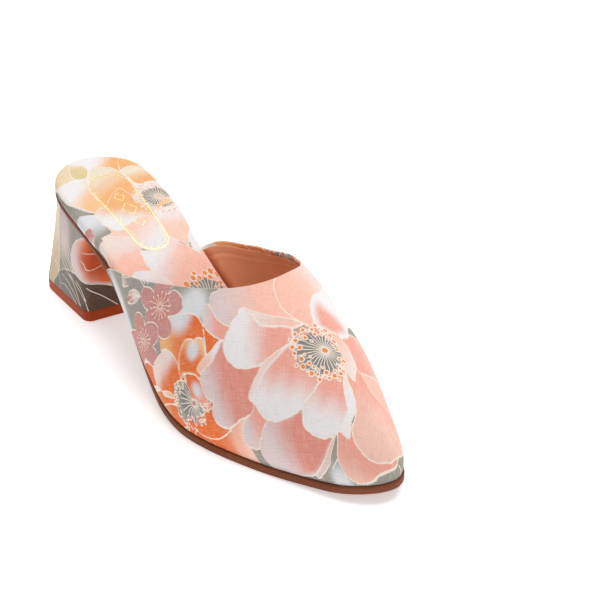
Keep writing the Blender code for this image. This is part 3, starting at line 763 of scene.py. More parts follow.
def makeLining():
    s = liningSizes
    across = np.linspace(-1, 1, s["columns"] + 1)
    one = np.ones_like(across)
    speed = np.linalg.norm(upperAt(across, 0 * one, s["outerInset"], 1.0)[0]
                           - upperAt(across, 0 * one, s["outerInset"])[0], axis=1)

    def row(value, inset, reach=0.0):
        points, station, _ = upperAt(across, value * one, inset, (s["start"] + reach) / speed)
        return points, station
    rows = []
    for reach, share in ((0.0, 0.0), (-0.28, 0.2), (-0.36, 0.5), (-0.2, 0.85)):
        rows.append(row(0.0, s["outerInset"] + s["thick"] * share, reach)[0])
    along = np.concatenate([np.linspace(0, 0.22, 40)[:-1], np.linspace(0.22, 0.985, s["rows"] - 38)])
    inside = s["outerInset"] + s["thick"]
    edgeStation = upperAt(across, 0 * one, inside)[1]
    for value in along:
        points, station = row(value, inside)
        run = np.abs(station - edgeStation) * speed
        groove = (0.34 * np.exp(-((run - s["lineAt"]) / 0.75) ** 2)
                  - 0.22 * np.exp(-((run - s["lineAt"] - 1.9) / 1.0) ** 2))
        crease = np.abs(np.sin(station * 0.42 + 7 * across) * np.sin(across * 19 + station * 0.11))
        crease = s["creaseHeight"] * crease * ease(8, 20, run) * np.clip((1 - value) * 5, 0, 1)
        pushed = row(value, inside + 1.0)[0] - points
        pushed = pushed / (np.linalg.norm(pushed, axis=1, keepdims=True) + 1e-9)
        rows.append(points + pushed * (crease - groove)[:, None])
    outerRows = []
    for value in along[::-1][::4]:
        outerRows.append(row(value, s["outerInset"])[0])
    points = np.concatenate([rows, outerRows, rows[:1]])
    piece, _, _ = layGrid("upper_lining", points)
    weldSeams(piece)
    bpy.ops.object.mode_set(mode="EDIT")
    bpy.ops.mesh.select_mode(type="EDGE")
    selectBorder()
    bpy.ops.mesh.fill()
    bpy.ops.mesh.select_all(action="SELECT")
    bpy.ops.mesh.normals_make_consistent(inside=False)
    bpy.ops.object.mode_set(mode="OBJECT")
    return piece


# Stations a set distance apart, closer where both ends turn round
def plateStations(fine, until, coarse):
    turns = [0.0]
    while turns[-1] < math.pi:
        angle = turns[-1]
        station = last["length"] / 2 * (1 - math.cos(angle))
        wanted = fine if station < until else coarse
        turns.append(angle + min(wanted / (last["length"] / 2 * max(math.sin(angle), 1e-3)), 0.014))
    turns[-1] = math.pi
    return (1 - np.cos(np.array(turns))) / 2


# Levels are (how far in, height over the station), from the lower edge to the top face
def plateLoops(share, levels, end, half, topCount, lowCount):
    loops = []
    edges = {}
    for side in (-1, 1):
        width = half(side, end * share)
        rows = []
        for inset, height in levels:
            station = inset + (end - 2 * inset) * share
            centre = side * last["toeOffset"] * ease(150, last["length"], station)
            reach = centre + (width - centre) * (1 - inset / np.maximum(width - centre, 12))
            rows.append(np.stack([station, side * reach, height(station)], -1))
        edges[side] = np.stack(rows, 1)
    blend = np.linspace(0, 1, topCount + 1)[1:-1, None]
    lowBlend = np.linspace(0, 1, lowCount + 1)[1:-1, None]
    for left, right in zip(edges[-1], edges[1]):
        top = left[-1] + (right[-1] - left[-1]) * blend
        low = right[0] + (left[0] - right[0]) * lowBlend
        loops.append(np.vstack([left, top, right[::-1], low, left[:1]]))
    return np.array(loops)


# Insole: foam pad covered with the same printed cloth, its edge rounded over
insoleSizes = {"atHeel": 4.2, "atToe": 3.4, "round": 3.0, "tuck": 1.5, "clear": 2.4, "crown": 0.35,
               "lowEdge": ((0.6, 0.0), (0.15, 0.04), (0.0, 0.14), (0.0, 0.25), (0.02, 0.38), (0.1, 0.5)),
               "topCount": 92}


def makeInsole():
    s = insoleSizes

    def half(side, station):
        inside = featherHalf(side, station, s["clear"])
        outside = soleHalf(side, station) - s["tuck"] * ease(58, 77, station)
        return outside + (inside - outside) * ease(105, 125, station)

    def level(share):
        def height(station):
            thick = s["atHeel"] + (s["atToe"] - s["atHeel"]) * ease(60, 150, station)
            return soleTop(station) + last["gap"] + thick * share
        return height
    levels = [(inset, level(share)) for inset, share in s["lowEdge"]]
    for angle in (11, 22, 34, 46, 57, 68, 79, 90):
        turn = math.radians(angle)
        levels.append((0.1 + s["round"] * (1 - math.cos(turn)), level(0.5 + 0.5 * math.sin(turn))))
    end, topCount, edge = toeEnd(s["clear"]), s["topCount"], len(levels)
    loops = plateLoops(plateStations(0.52, 172, 2.2), levels, end, half, topCount, 8)
    places = loops[..., :2].copy()
    over = np.linspace(0, 1, topCount + 1)[1:-1]
    crown = s["crown"] * (4 * over * (1 - over)) ** 0.8
    near = ease(0, 14, loops[:, edge, 0]) * ease(0, 30, end - loops[:, edge, 0])
    loops[:, edge:edge + topCount - 1, 2] += crown * near[:, None]
    for k in range(edge):  # the cloth runs on down the rounded edge
        places[:, k, 1] -= (edge - k) * 0.22
        places[:, 2 * edge + topCount - 2 - k, 1] += (edge - k) * 0.22
    paint = newPaint(places)
    paintInsole(paint)
    piece, j, i = layGrid("insole_cover", loops, places)
    keepPaint(piece, j, i, paint)
    weldSeams(piece)
    return piece


# Petals of the insole's cover: places are (along, across)
insolePetals = [
    ((46.9, -30, 47.1, -25.8, 47.5, -21.8, 48.6, -18.9, 49.8, -18.2, 53.3, -17.9, 56.6, -17.9, 59.2, -16.3,
      61.7, -15.3, 63.2, -16.3, 63.4, -18.9, 64.4, -21.7, 64.8, -22.8, 66.9, -23.9, 68.1, -27.4, 69.3, -28.1,
      72.6, -28.2, 77.7, -27.6, 82.1, -27.6, 88, -28, 86, -34, 60, -34, 48, -34), "ground", "mist",
      (64, -22), (54, -24), 0, 0.1),
    ((20.4, -26.3, 26.7, -26.8, 31, -27, 35.7, -26.6, 39.1, -24.6, 41.7, -22.6, 44.8, -20.4, 47, -17.7, 48.6,
      -18, 47.5, -21.8, 47.1, -25.8, 46.6, -34, 34, -34, 20, -34), "slate", "ground", (26, -28), (40, -23)),
    ((21.2, -26.2, 20.5, -24.7, 20.3, -20.4, 18.5, -15.5, 18.9, -13, 20.3, -9.8, 18.9, -7.3, 25.2, -9.8,
      30.7, -11.5, 39.1, -11.4, 44.9, -10.5, 44.8, -13.5, 46.7, -16.4, 46.7, -17.5, 45.3, -18.9, 42.4, -20.8,
      39.2, -23.2, 37, -25.9, 33.7, -26.8, 29.7, -26.7, 26, -26.2), "apricot", "white", (36, -12), (28, -20),
      0, 0.1),
    ((4, -11, -2, -5, -3, 3, -1, 12, 4, 19, 8, 15.9, 12, 13, 17.2, 11, 20.3, 9.8, 17.6, 7.6, 14.4, 4.8, 12.9,
      1.1, 13.4, -2.8, 14.5, -4.6, 11, -3.3, 8.9, -4.1, 7.2, -6.3, 5.9, -10.6), "amber", "white", (13.4, 10),
      (6, 1.5), 0, 0.1),
    ((20.7, -25.7, 18, -31, 8, -28, 0, -20, 3, -11, 5.8, -10.6, 9.4, -11.4, 13, -13.1, 16.9, -13.7, 18.7,
      -12.9, 18.7, -15.1, 19.7, -18.2, 20.6, -21.7, 21, -25), "wheat", "wheat", (8, -16), (16, -22)),
    ((8.6, 15.7, 5, 20, 12, 26, 24, 30, 26, 27, 21.9, 23.5, 18.1, 20.3, 16.9, 17, 17.6, 13, 18.9, 10.8, 12,
      13), "amber", "apricot", (13, 17), (20, 24)),
    ((20.5, 10.4, 18.3, 12.7, 17.6, 16.7, 18, 20.9, 21.2, 24.1, 25.9, 27, 31, 33, 38, 33, 34.4, 25.7, 32.9,
      20.3, 32.6, 17.2, 33.3, 14.6, 32.5, 12.4, 29.8, 11.5, 25.6, 11.1, 22.8, 10.3), "amber", "cream",
      (30, 15.5), (21, 14.5), 0, 0.1),
    ((6.7, -10.6, 7.5, -6.5, 9.3, -4.3, 12.9, -3.9, 15, -4.8, 18.9, -7.3, 19.3, -10.2, 18.5, -12.8, 16.1,
      -13.6, 12.9, -13.1), "straw", "wheat", (13, -9), (8, -6)),
    ((14.1, -3.1, 13.2, 2.7, 15.4, 7.4, 20.3, 9.8, 26.8, 10, 35.3, 9.5, 42, 6.3, 44, 0, 44.6, -10.4, 38.5,
      -11.1, 32.3, -11.5, 25.2, -9.6), "amber", "cream", (34, 3), (20, -4), 0, 0.1),
    ((49.1, -18.1, 46.5, -16.1, 45, -13.6, 44.9, -10.5, 38.2, -4.5, 33.4, 2.5, 37.1, 4.1, 40.6, 5.3, 44.9,
      5.2, 48.5, 7.2, 52.2, 7.9, 57, 8, 60, 4, 60, -4.7, 61, -9.4, 62.7, -10.8, 62.5, -13.7, 61.6, -15.2,
      59.2, -16.3, 56.8, -17.6, 53.3, -17.9), "amber", "white", (46, -4), (57, -9), 0, 0.1),
    ((57, -16.9, 61.8, -14.7, 62.7, -10.8, 60, -6, 57, 2, 60, 8, 66, 8, 72, 6, 74.1, 5.4, 79.3, 1.6, 81.2,
      -3, 79.5, -6.3, 76.8, -9.1, 71.9, -9.4, 68.3, -11.7, 65.8, -16.7, 64.4, -19.4, 63, -16.6), "peach",
      "white", (63, -9), (76, 0), 0, 0.1),
    ((54.3, 9.6, 53.9, 12.7, 51, 17.3, 49.5, 26.9, 50, 33, 66, 34, 69.4, 29.2, 73.4, 21, 79, 13.9, 82.6,
      12.3, 79.2, 10.3, 76, 7.7, 73.9, 5.9, 66.5, 7.7, 59.7, 8.3), "peach", "white", (69, 13), (56, 15)),
    ((64.5, 28.7, 70.8, 21.5, 75.6, 15.9, 78.7, 14.3, 81.6, 13.9, 84.4, 13.3, 87.9, 15.1, 84, 20, 79, 26, 75,
      34, 66, 34), "white", "white", (64, 20), (84, 20)),
    ((87.9, 15.1, 84, 20, 79, 26, 75, 34, 104, 34, 106, 22, 100, 16, 95, 16, 91, 17.4), "salmon", "pale",
      (92, 22), (80, 30)),
    ((64.9, -22.6, 67, -23.7, 68.3, -27.2, 69.4, -28, 72.6, -28.2, 77.7, -29, 82.1, -34, 92, -34, 91, -23,
      89.5, -19.8, 89.2, -17.6, 90.4, -13.2, 91.9, -10.7, 89.8, -11.2, 86.4, -11.6, 82.8, -11.1, 79.5, -10.2,
      75.4, -9.6, 71.2, -9.9, 68.6, -11.9, 66, -16.9, 64.7, -20.4), "salmon", "pale", (84, -18), (72, -17),
      0, 0.1),
    ((78.9, -10.4, 82.7, -11.6, 86.1, -12.2, 89.1, -11.7, 92.1, -10.8, 95.7, -7.2, 99, -6, 106, -3, 110, 6,
      104, 14, 95.6, 16.9, 92.9, 18.3, 90.4, 17.6, 87.9, 15.1, 84.1, 12.5, 80.4, 9.7, 77.3, 8.2, 73.4, 5.5,
      79.1, 1.6, 81.3, -2.2, 80, -6.6), "salmon", "white", (92, 5), (83, -6.5)),
    ((91.5, -28, 90.7, -22, 89.4, -19.7, 89.1, -18, 89.9, -14.6, 90.7, -11.9, 92.1, -10.8, 95.1, -8.1, 98.7,
      -5.7, 104, -8, 104, -28), "pale", "white", (100, -14), (91, -15)),
    ((55.2, -31, 55.8, -27.3, 56.4, -25.2, 57.5, -24.5, 59.4, -25.4, 61.9, -25.5, 63.3, -27.9, 66, -31, 60,
      -33), "petalPink", "lilac", (60, -27), (63, -30)),
    ((49.7, 15.7, 47.7, 18.4, 47, 23.4, 46.8, 27.8, 48, 33, 52, 33, 51.5, 22, 52.4, 18.4, 52.8, 14.6, 54.9,
      11.2, 51.8, 12.6), "apricot", "cream", (50, 15), (49, 24), 0, 0, True),
]
insoleFront = [
    ((118, -6, 124, -20, 138, -31, 152, -31, 158, -20, 152, -8, 140, 0, 128, 2), "rose", "blush", (126, -6),
      (150, -24), 0, 0.3),
    ((120, 12, 136, 4, 152, 4, 162, 13, 158, 24, 146, 30, 132, 26), "rose", "blush", (130, 12), (154, 18), 0,
      0.3),
    ((108, 2, 104, -8, 103, -20, 107, -31, 117, -37, 126, -33, 127, -22, 121, -10, 113, 0), "salmon",
      "white", (110, -8), (116, -30), 0, 0.3),
    ((110, 12, 117, 17, 124, 26, 126, 36, 118, 42, 106, 42, 101, 34, 102, 23, 105, 16), "salmon", "white",
      (108, 16), (114, 36), 0, 0.3),
    ((112, 5, 118, -5, 128, -14, 140, -16, 147, -9, 146, 1, 136, 8, 122, 9), "salmon", "white", (120, 2),
      (140, -8), 0, 0.3),
    ((112, 10, 124, 8, 138, 9, 147, 16, 144, 25, 133, 29, 122, 25, 114, 17), "salmon", "white", (122, 14),
      (140, 20), 0, 0.3),
]
insoleDots = (
    96.4, 6.6, 0.98, 98.3, 5.2, 1.28, 100.2, 0.7, 1.45, 98.8, 8.1, 1.15, 100.8, 5.3, 1.05, 97.4, 11.8, 1.12,
    97.1, 15, 1.5, 99.6, 13.2, 1.15, 98.9, 17.8, 1.4, 100.2, 20.7, 1.05, 102.8, 17, 1.1, 104.4, 14.4, 0.83,
)
insoleVeins = [
    (39.7, -23.6, 40.6, -26, 41.6, -30), (41.7, -22.2, 42.9, -25.8, 43.6, -30),
    (43.5, -21.4, 44.9, -24.8, 45.3, -30), (45.1, -20.1, 46, -23.8, 46.9, -28.1),
    (33.2, -26.8, 35.5, -27.7, 37.2, -30), (74.1, 5.6, 79.6, 7.2, 84, 9.3, 86.8, 11.9),
]


def paintInsole(paint):
    paintGlow(paint, (8, 2), (60, 80), "white")
    paintGlow(paint, (112, 0), (40, 50), "peach")
    paintGlow(paint, (166, -16), (18, 12), "mist")
    paintPetals(paint, insoleFront + insolePetals)
    paintBlossom(paint, (182, 8), 13, 0.4, "petalPink", "lilac")
    paintVeins(paint, insoleVeins, 0.12)
    dots = np.array(insoleDots).reshape(-1, 3)
    paintDots(paint, dots, "orange")
    paintDots(paint, dots * (-1, -1, 1) + (220, 15, 0), "orange")  # the half of the ring under the upper


# Heel: a block wrapped in the cloth, with its seam down the middle of the breast
heelSizes = {"liftHeight": 5.5, "rearTop": 1.4, "rearFoot": 1.2, "breastTop": 52.5, "breastFoot": 53.0,
             "inset": 1.1, "corner": 4.0, "foot": ((0.0, 26.3, 24.8), (0.5, 27.2, 25.6), (1.0, 28.0, 26.3)),
             "seamDepth": 0.35, "seamHalf": 0.45, "halfBreast": 27.0, "gap": 0.05}


heelHalfSteps = 360


def heelCurve(level):
    s = heelSizes
    rear = s["rearFoot"] + (s["rearTop"] - s["rearFoot"]) * level
    front = s["breastFoot"] + (s["breastTop"] - s["breastFoot"]) * level
    share = (1 - np.cos(np.linspace(0, math.pi, heelHalfSteps + 1))) / 2

    def rounded(at, fullness):
        return (1 - (1 - np.clip(at, 0, 1)) ** fullness) ** (1 / fullness)
    roundRear = rounded(share / 0.4, 6.0)
    roundFront = rounded((1 - share) / 0.1, 2.2)
    station = rear + (front - rear) * share
    sides = {}
    for side in (-1, 1):
        foot = curveThrough(column(s["foot"], 0), column(s["foot"], 1 if side < 0 else 2), share)
        foot = foot * roundRear - s["corner"] * (1 - roundFront)
        seat = soleHalf(side, s["rearTop"] + (s["breastTop"] - s["rearTop"]) * share) - s["inset"]
        seat = np.where(share > 0, np.clip(seat, 0, None), 0) - s["corner"] * (1 - roundFront)
        sides[side] = np.stack([station, side * (foot + (seat - foot) * level)], -1)
    over = np.linspace(0, 1, 121)[1:-1, None]
    breast = sides[1][-1] + (sides[-1][-1] - sides[1][-1]) * over
    return np.vstack([sides[-1][::-1], sides[1][1:], breast, sides[-1][-1:]])


# Loops round the block with their places on the wrap, the run measured from the middle of the back
def heelLoops(levels, spacing, floor, ceiling):
    middle = heelCurve(0.5)
    run = np.concatenate([[0], np.cumsum(np.linalg.norm(np.diff(middle, axis=0), axis=1))])
    steps = np.arange(len(run))
    wanted = np.interp(np.linspace(0, run[-1], int(run[-1] / spacing) + 1), run, steps)
    around = np.interp(wanted, steps, run) - run[heelHalfSteps]
    loops, places = [], []
    for level in levels:
        curve = heelCurve(level)
        flat = np.stack([np.interp(wanted, steps, curve[:, k]) for k in range(2)], -1)
        height = floor + (ceiling(flat[:, 0]) - floor) * level
        loops.append(np.column_stack([flat, height]))
        places.append(np.stack([around, height], -1))
    return np.array(loops), np.array(places)


def makeHeel():
    s = heelSizes
    floor = s["liftHeight"] + s["gap"]
    loops, places = heelLoops(np.linspace(0, 1, 95), 0.5, floor,
                              lambda station: soleUnder(station) - s["gap"])
    around = places[0, -1, 0] - places[0, 0, 0]
    seamAt = places[0, -1, 0] - s["halfBreast"]
    loops[..., 0] -= s["seamDepth"] * np.exp(-((places[..., 0] - seamAt) / s["seamHalf"]) ** 2)

    def closing(loop):  # a ring half way in, and the middle
        ring = loop.copy()
        ring[:, :2] = (loop[:, :2] + loop.mean(0)[:2]) / 2
        return np.stack([ring, 0 * ring + ring.mean(0)])
    seat = closing(loops[-1])
    seat[..., 2] = soleUnder(seat[..., 0]) - s["gap"]
    loops = np.concatenate([closing(loops[0])[::-1], loops, seat])
    places = np.concatenate([places[:1], places[:1], places, places[-1:], places[-1:]])
    paint = newPaint(places)
    paint["p"] = np.where(paint["p"] > seamAt, paint["p"] - around, paint["p"])
    paintHeel(paint)
    piece, j, i = layGrid("heel_cover", loops, places)
    keepPaint(piece, j, i, paint)
    return weldSeams(piece)


# Petals round the heel: places (run from the middle of the back, height), the outer side is negative
heelPetals = [
    ((-39, 52, -38, 40, -39, 24, -36, 6, -26, 4, -24, 30, -27, 52), "sand", "cream", (-34, 14), (-30, 44)),
    ((-18, 56, -24, 42, -22, 28, -14, 20, -4, 22, 2, 34, 0, 50), "amber", "cream", (-8, 30), (-16, 48), 1.2,
      0.3),
    ((-36, 12, -41, 16.4, -48, 19.4, -56, 20.8, -64, 20.8, -74, 19, -86, 14, -98, 12, -112, 14, -118, 3, -38,
      3), "umber", "slate", (-72, 12), (-46, 12)),
    ((-59, 38, -55, 33.5, -53.4, 28, -55, 23.4, -60, 20.4, -70, 19.5, -80, 17, -89, 15.5, -98, 16.5, -107,
      21, -110, 30, -106, 40, -92, 46, -76, 45, -66, 42), "flame", "lilac", (-74, 32), (-59, 27), 2, 0.2),
    ((15, 55, 17, 44, 22, 36, 30, 33, 36, 40, 36, 55), "mist", "white", (30, 36), (24, 44), 0, 0.2),
    ((-2, 20, 5, 15, 11, 17, 15, 28, 16, 38, 12, 46, 4, 42, 0, 32), "rose", "white", (3, 28), (13, 32), 0,
      0.3),
    ((12, 20, 20, 21, 30, 26, 36, 27, 42, 22, 36, 14, 26, 8, 12, 8), "rose", "pale", (33, 20), (20, 12), 0,
      0.2),
    ((36, 45, 32, 40, 32, 33, 36, 27, 41, 25, 46, 28, 50, 30, 60, 38, 66, 44, 66, 50, 40, 50), "rose",
      "white", (54, 40), (36, 36), 0, 0.3),
    ((40, 25, 36, 20, 35, 14, 38, 9, 46, 6, 60, 7, 70, 10, 74, 20, 74, 34, 66, 38, 60, 36, 50, 29), "rose",
      "lilac", (68, 28), (46, 14), 0, 0.3),
    ((33, 27, 40, 25, 46, 26.6, 52, 30, 58, 35, 63, 41, 57, 39.4, 51, 35, 49, 31, 43, 29, 38, 27.6), "pale",
      "white", (40, 26), (54, 35), 0, 0.2),
    ((13, 20.6, 20, 21, 26, 23, 30, 26, 36, 28.6, 28, 28.4, 21, 26, 16, 23), "slate", "white", (20, 21),
      (27, 27), 0, 0.2),
    ((66, 15, 71, 12, 76, 22, 76, 34, 68, 34, 67, 28, 69, 23), "rose", "pale", (74, 30), (68, 20), 0, 0.3),
    ((34, 2, 44, 5.4, 54, 8.4, 64, 12.6, 68, 14.4, 76, 12, 76, 2), "flame", "cream", (74, 4), (58, 9.5), 0,
      0.2),
]
heelVeins = [
    (-41.2, 14.7, -50.6, 12.9, -62.7, 6.6), (-48.1, 18.3, -55.2, 15.5, -63.6, 6.6),
    (-50.4, 18, -57, 16.3, -66, 11.9, -69.3, 5), (-58.8, 17.8, -64.7, 15, -67.9, 10.5),
    (-68, 17.4, -76, 12, -84, 5), (-86.1, 13.1, -88.6, 8.8, -90, 5.1), (-40.6, 9.6, -47.7, 10.1, -59.1, 5.5),
    (-42.9, 36.5, -48.7, 30.5, -56, 20.4), (-41, 32, -46.6, 26.1, -54.6, 20.1),
    (-44.1, 38.1, -50.8, 32, -56, 24), (-40, 27.3, -46.4, 22.6, -50.9, 19.4),
    (-42, 34.4, -47.6, 28.4, -55.2, 20.6), (-40, 24, -44, 21, -48, 18.6),
    (-64.4, 30.2, -66.8, 29, -70, 26.3, -86, 30.8), (-65.3, 34.4, -69.7, 34.6, -84.5, 33.3),
    (-30.4, 18, -35.4, 17.2, -37.1, 13.9, -39.3, 9.9, -39.6, 5.1), (60, 38, 56, 33, 64, 14),
]


def paintHeel(paint):
    paintGlow(paint, (-44, 38), (12, 18), "lilac", 0.7)
    paintPetals(paint, heelPetals[:4])
    paintGlow(paint, (-77, 31), (21, 12), "ember")
    paintPetals(paint, heelPetals[4:])
    paintVeins(paint, heelVeins)


# Heel lift: levels are (how far in, height), from the middle of its underside up
def makeLift():
    height = heelSizes["liftHeight"]
    loop = heelLoops([0.0], 1.0, 0.0, lambda station: 0 * station)[0][0]
    middle = loop.mean(0)
    loops = []
    half = heelSizes["halfBreast"]
    for inset, z in ((half, 0.25), (9, 0.25), (1.2, 0.0), (0.5, 0.0), (0.15, 0.12), (0.0, 0.4), (0.0, 1.6),
                     (0.0, 3.2), (0.0, height - 0.5), (0.12, height - 0.15), (0.4, height), (9, height),
                     (half, height)):
        loops.append(middle + (loop - middle) * (1 - inset / half) + np.array([0, 0, z]))
    piece, _, _ = layGrid("lift_rubber", np.array(loops))
    return weldSeams(piece)


# Outsole: moulded sheet with a rounded edge and slanting grooves from the tread to the toe
outsoleSizes = {"edge": 0.45, "grooveDepth": 0.45, "groovePitch": 3.2, "treadFrom": 128}


def makeOutsole():
    s = outsoleSizes

    def height(share, lift=0.0):
        return lambda station: soleUnder(station) + (soleTop(station) - soleUnder(station)) * share + lift
    levels = [(1.0, height(0.0)), (0.45, height(0.0)), (0.12, height(0.0, 0.15)), (0.0, height(0.0, 0.5)),
              (0.0, height(0.35)), (0.0, height(0.7)), (0.05, height(1.0, -0.25)), (0.35, height(1.0))]
    loops = plateLoops(plateStations(1.0, 252, 1.0), levels, last["length"], soleHalf, 10, 60)
    underneath = np.ones(loops.shape[1], bool)
    underneath[2:len(levels) * 2 + 7] = False
    x, y = loops[..., 0], loops[..., 1]
    wave = np.sin((x * 0.82 + np.abs(y - 2) * 0.57) * 2 * math.pi / s["groovePitch"])
    groove = s["grooveDepth"] * ease(0.35, 0.8, wave) * ease(s["treadFrom"], s["treadFrom"] + 4, x)
    groove *= ease(last["length"], last["length"] - 3, x)
    loops[..., 2] += groove * underneath
    piece, _, _ = layGrid("sole_rubber", loops)
    return weldSeams(piece)


# Shader tree with short calls that add a node and link what they are given
class Tree:
    def __init__(self, tree):
        self.tree = tree

    def node(self, kind, inputs=(), **settings):
        made = self.tree.nodes.new(kind)
        for key, value in settings.items():
            setattr(made, key, value)
        for key, value in (inputs.items() if isinstance(inputs, dict) else enumerate(inputs)):
            if isinstance(value, bpy.types.NodeSocket):
                self.link(value, made.inputs[key])
            else:
                made.inputs[key].default_value = value
        return made

    def link(self, value, socket):
        self.tree.links.new(value, socket)

    def group(self, name, inputs):
        return self.node("ShaderNodeGroup", inputs, node_tree=groups[name])

    def math(self, operation, *values, clamp=False):
        return self.node("ShaderNodeMath", values, operation=operation, use_clamp=clamp).outputs[0]

    def times(self, first, second, clamp=False):
        return self.math("MULTIPLY", first, second, clamp=clamp)

    def plus(self, first, second, clamp=False):
        return self.math("ADD", first, second, clamp=clamp)

    def minus(self, first, second):
        return self.math("SUBTRACT", first, second)

    def over(self, first, second, clamp=False):
        return self.math("DIVIDE", first, second, clamp=clamp)

    def positive(self, value):
        return self.math("ABSOLUTE", value)

    def vector(self, operation, *values):
        made = self.node("ShaderNodeVectorMath", values, operation=operation)
        return made.outputs["Value" if operation == "LENGTH" else "Vector"]

    def between(self, value, low, high, fromHigh=1.0, toHigh=0.0):
        return self.node("ShaderNodeMapRange", {0: value, 1: low, 2: high, 3: fromHigh, 4: toHigh},
                         interpolation_type="SMOOTHSTEP").outputs[0]

    def mix(self, factor, first, second):
        made = self.node("ShaderNodeMix", {0: factor}, data_type="RGBA")
        for socket, value in ((made.inputs[6], first), (made.inputs[7], second)):
            if isinstance(value, bpy.types.NodeSocket):
                self.link(value, socket)
            else:
                socket.default_value = (*value, 1)
        return made.outputs[2]


def newGroup(name, inputs, outputs):
    tree = bpy.data.node_groups.new(name, "ShaderNodeTree")
    for label, kind, value in inputs:
        socket = tree.interface.new_socket(label, in_out="INPUT", socket_type="NodeSocket" + kind)
        if value is not None:
            socket.default_value = value
    for label, kind in outputs:
        tree.interface.new_socket(label, in_out="OUTPUT", socket_type="NodeSocket" + kind)
    made = Tree(tree)
    start = made.node("NodeGroupInput").outputs
    end = made.node("NodeGroupOutput").inputs
    return made, start, end


# Plain weave: threads over and under each other, each a little uneven along its length
def makeWeaveGroup():
    t, start, end = newGroup("plainWeave", [("Place", "Vector", None), ("Pitch", "Float", 1.0),
                                            ("Turn", "Float", 0.78)],
                             [("Height", "Float"), ("Streak", "Float")])
    noise = t.node("ShaderNodeTexNoise", {"Vector": start["Place"], "Scale": 0.2, "Detail": 1.0})
    moved = t.vector("MULTIPLY_ADD", noise.outputs["Color"], (0.8, 0.8, 0.0), start["Place"])
    turned = t.node("ShaderNodeVectorRotate", {"Vector": moved, "Angle": start["Turn"]},
                    rotation_type="Z_AXIS").outputs[0]
    scaled = t.vector("SCALE", turned)
    t.link(t.over(math.pi, start["Pitch"]), scaled.node.inputs["Scale"])
    parts = t.node("ShaderNodeSeparateXYZ", [scaled])
    overX = t.positive(t.math("SINE", parts.outputs[0]))
    overY = t.positive(t.math("SINE", parts.outputs[1]))
    halfX = t.math("COSINE", parts.outputs[0])
    halfY = t.math("COSINE", parts.outputs[1])
    cross = t.math("MULTIPLY_ADD", t.times(halfX, halfY), 0.5, 0.5)
    warp = t.times(overX, cross)
    weft = t.times(overY, t.minus(1.0, cross))
    t.link(t.math("MAXIMUM", warp, weft), end["Height"])
    streaks = []
    for stretch in ((0.55, 0.05, 1), (0.05, 0.55, 1)):
        long = t.vector("MULTIPLY", scaled, stretch)
        streaks.append(t.node("ShaderNodeTexNoise", {"Vector": long, "Scale": 1.0, "Detail": 2.0,
                                                     "Roughness": 0.7}).outputs[0])
    t.link(t.minus(t.plus(*streaks), 1.0), end["Streak"])
    return t.tree


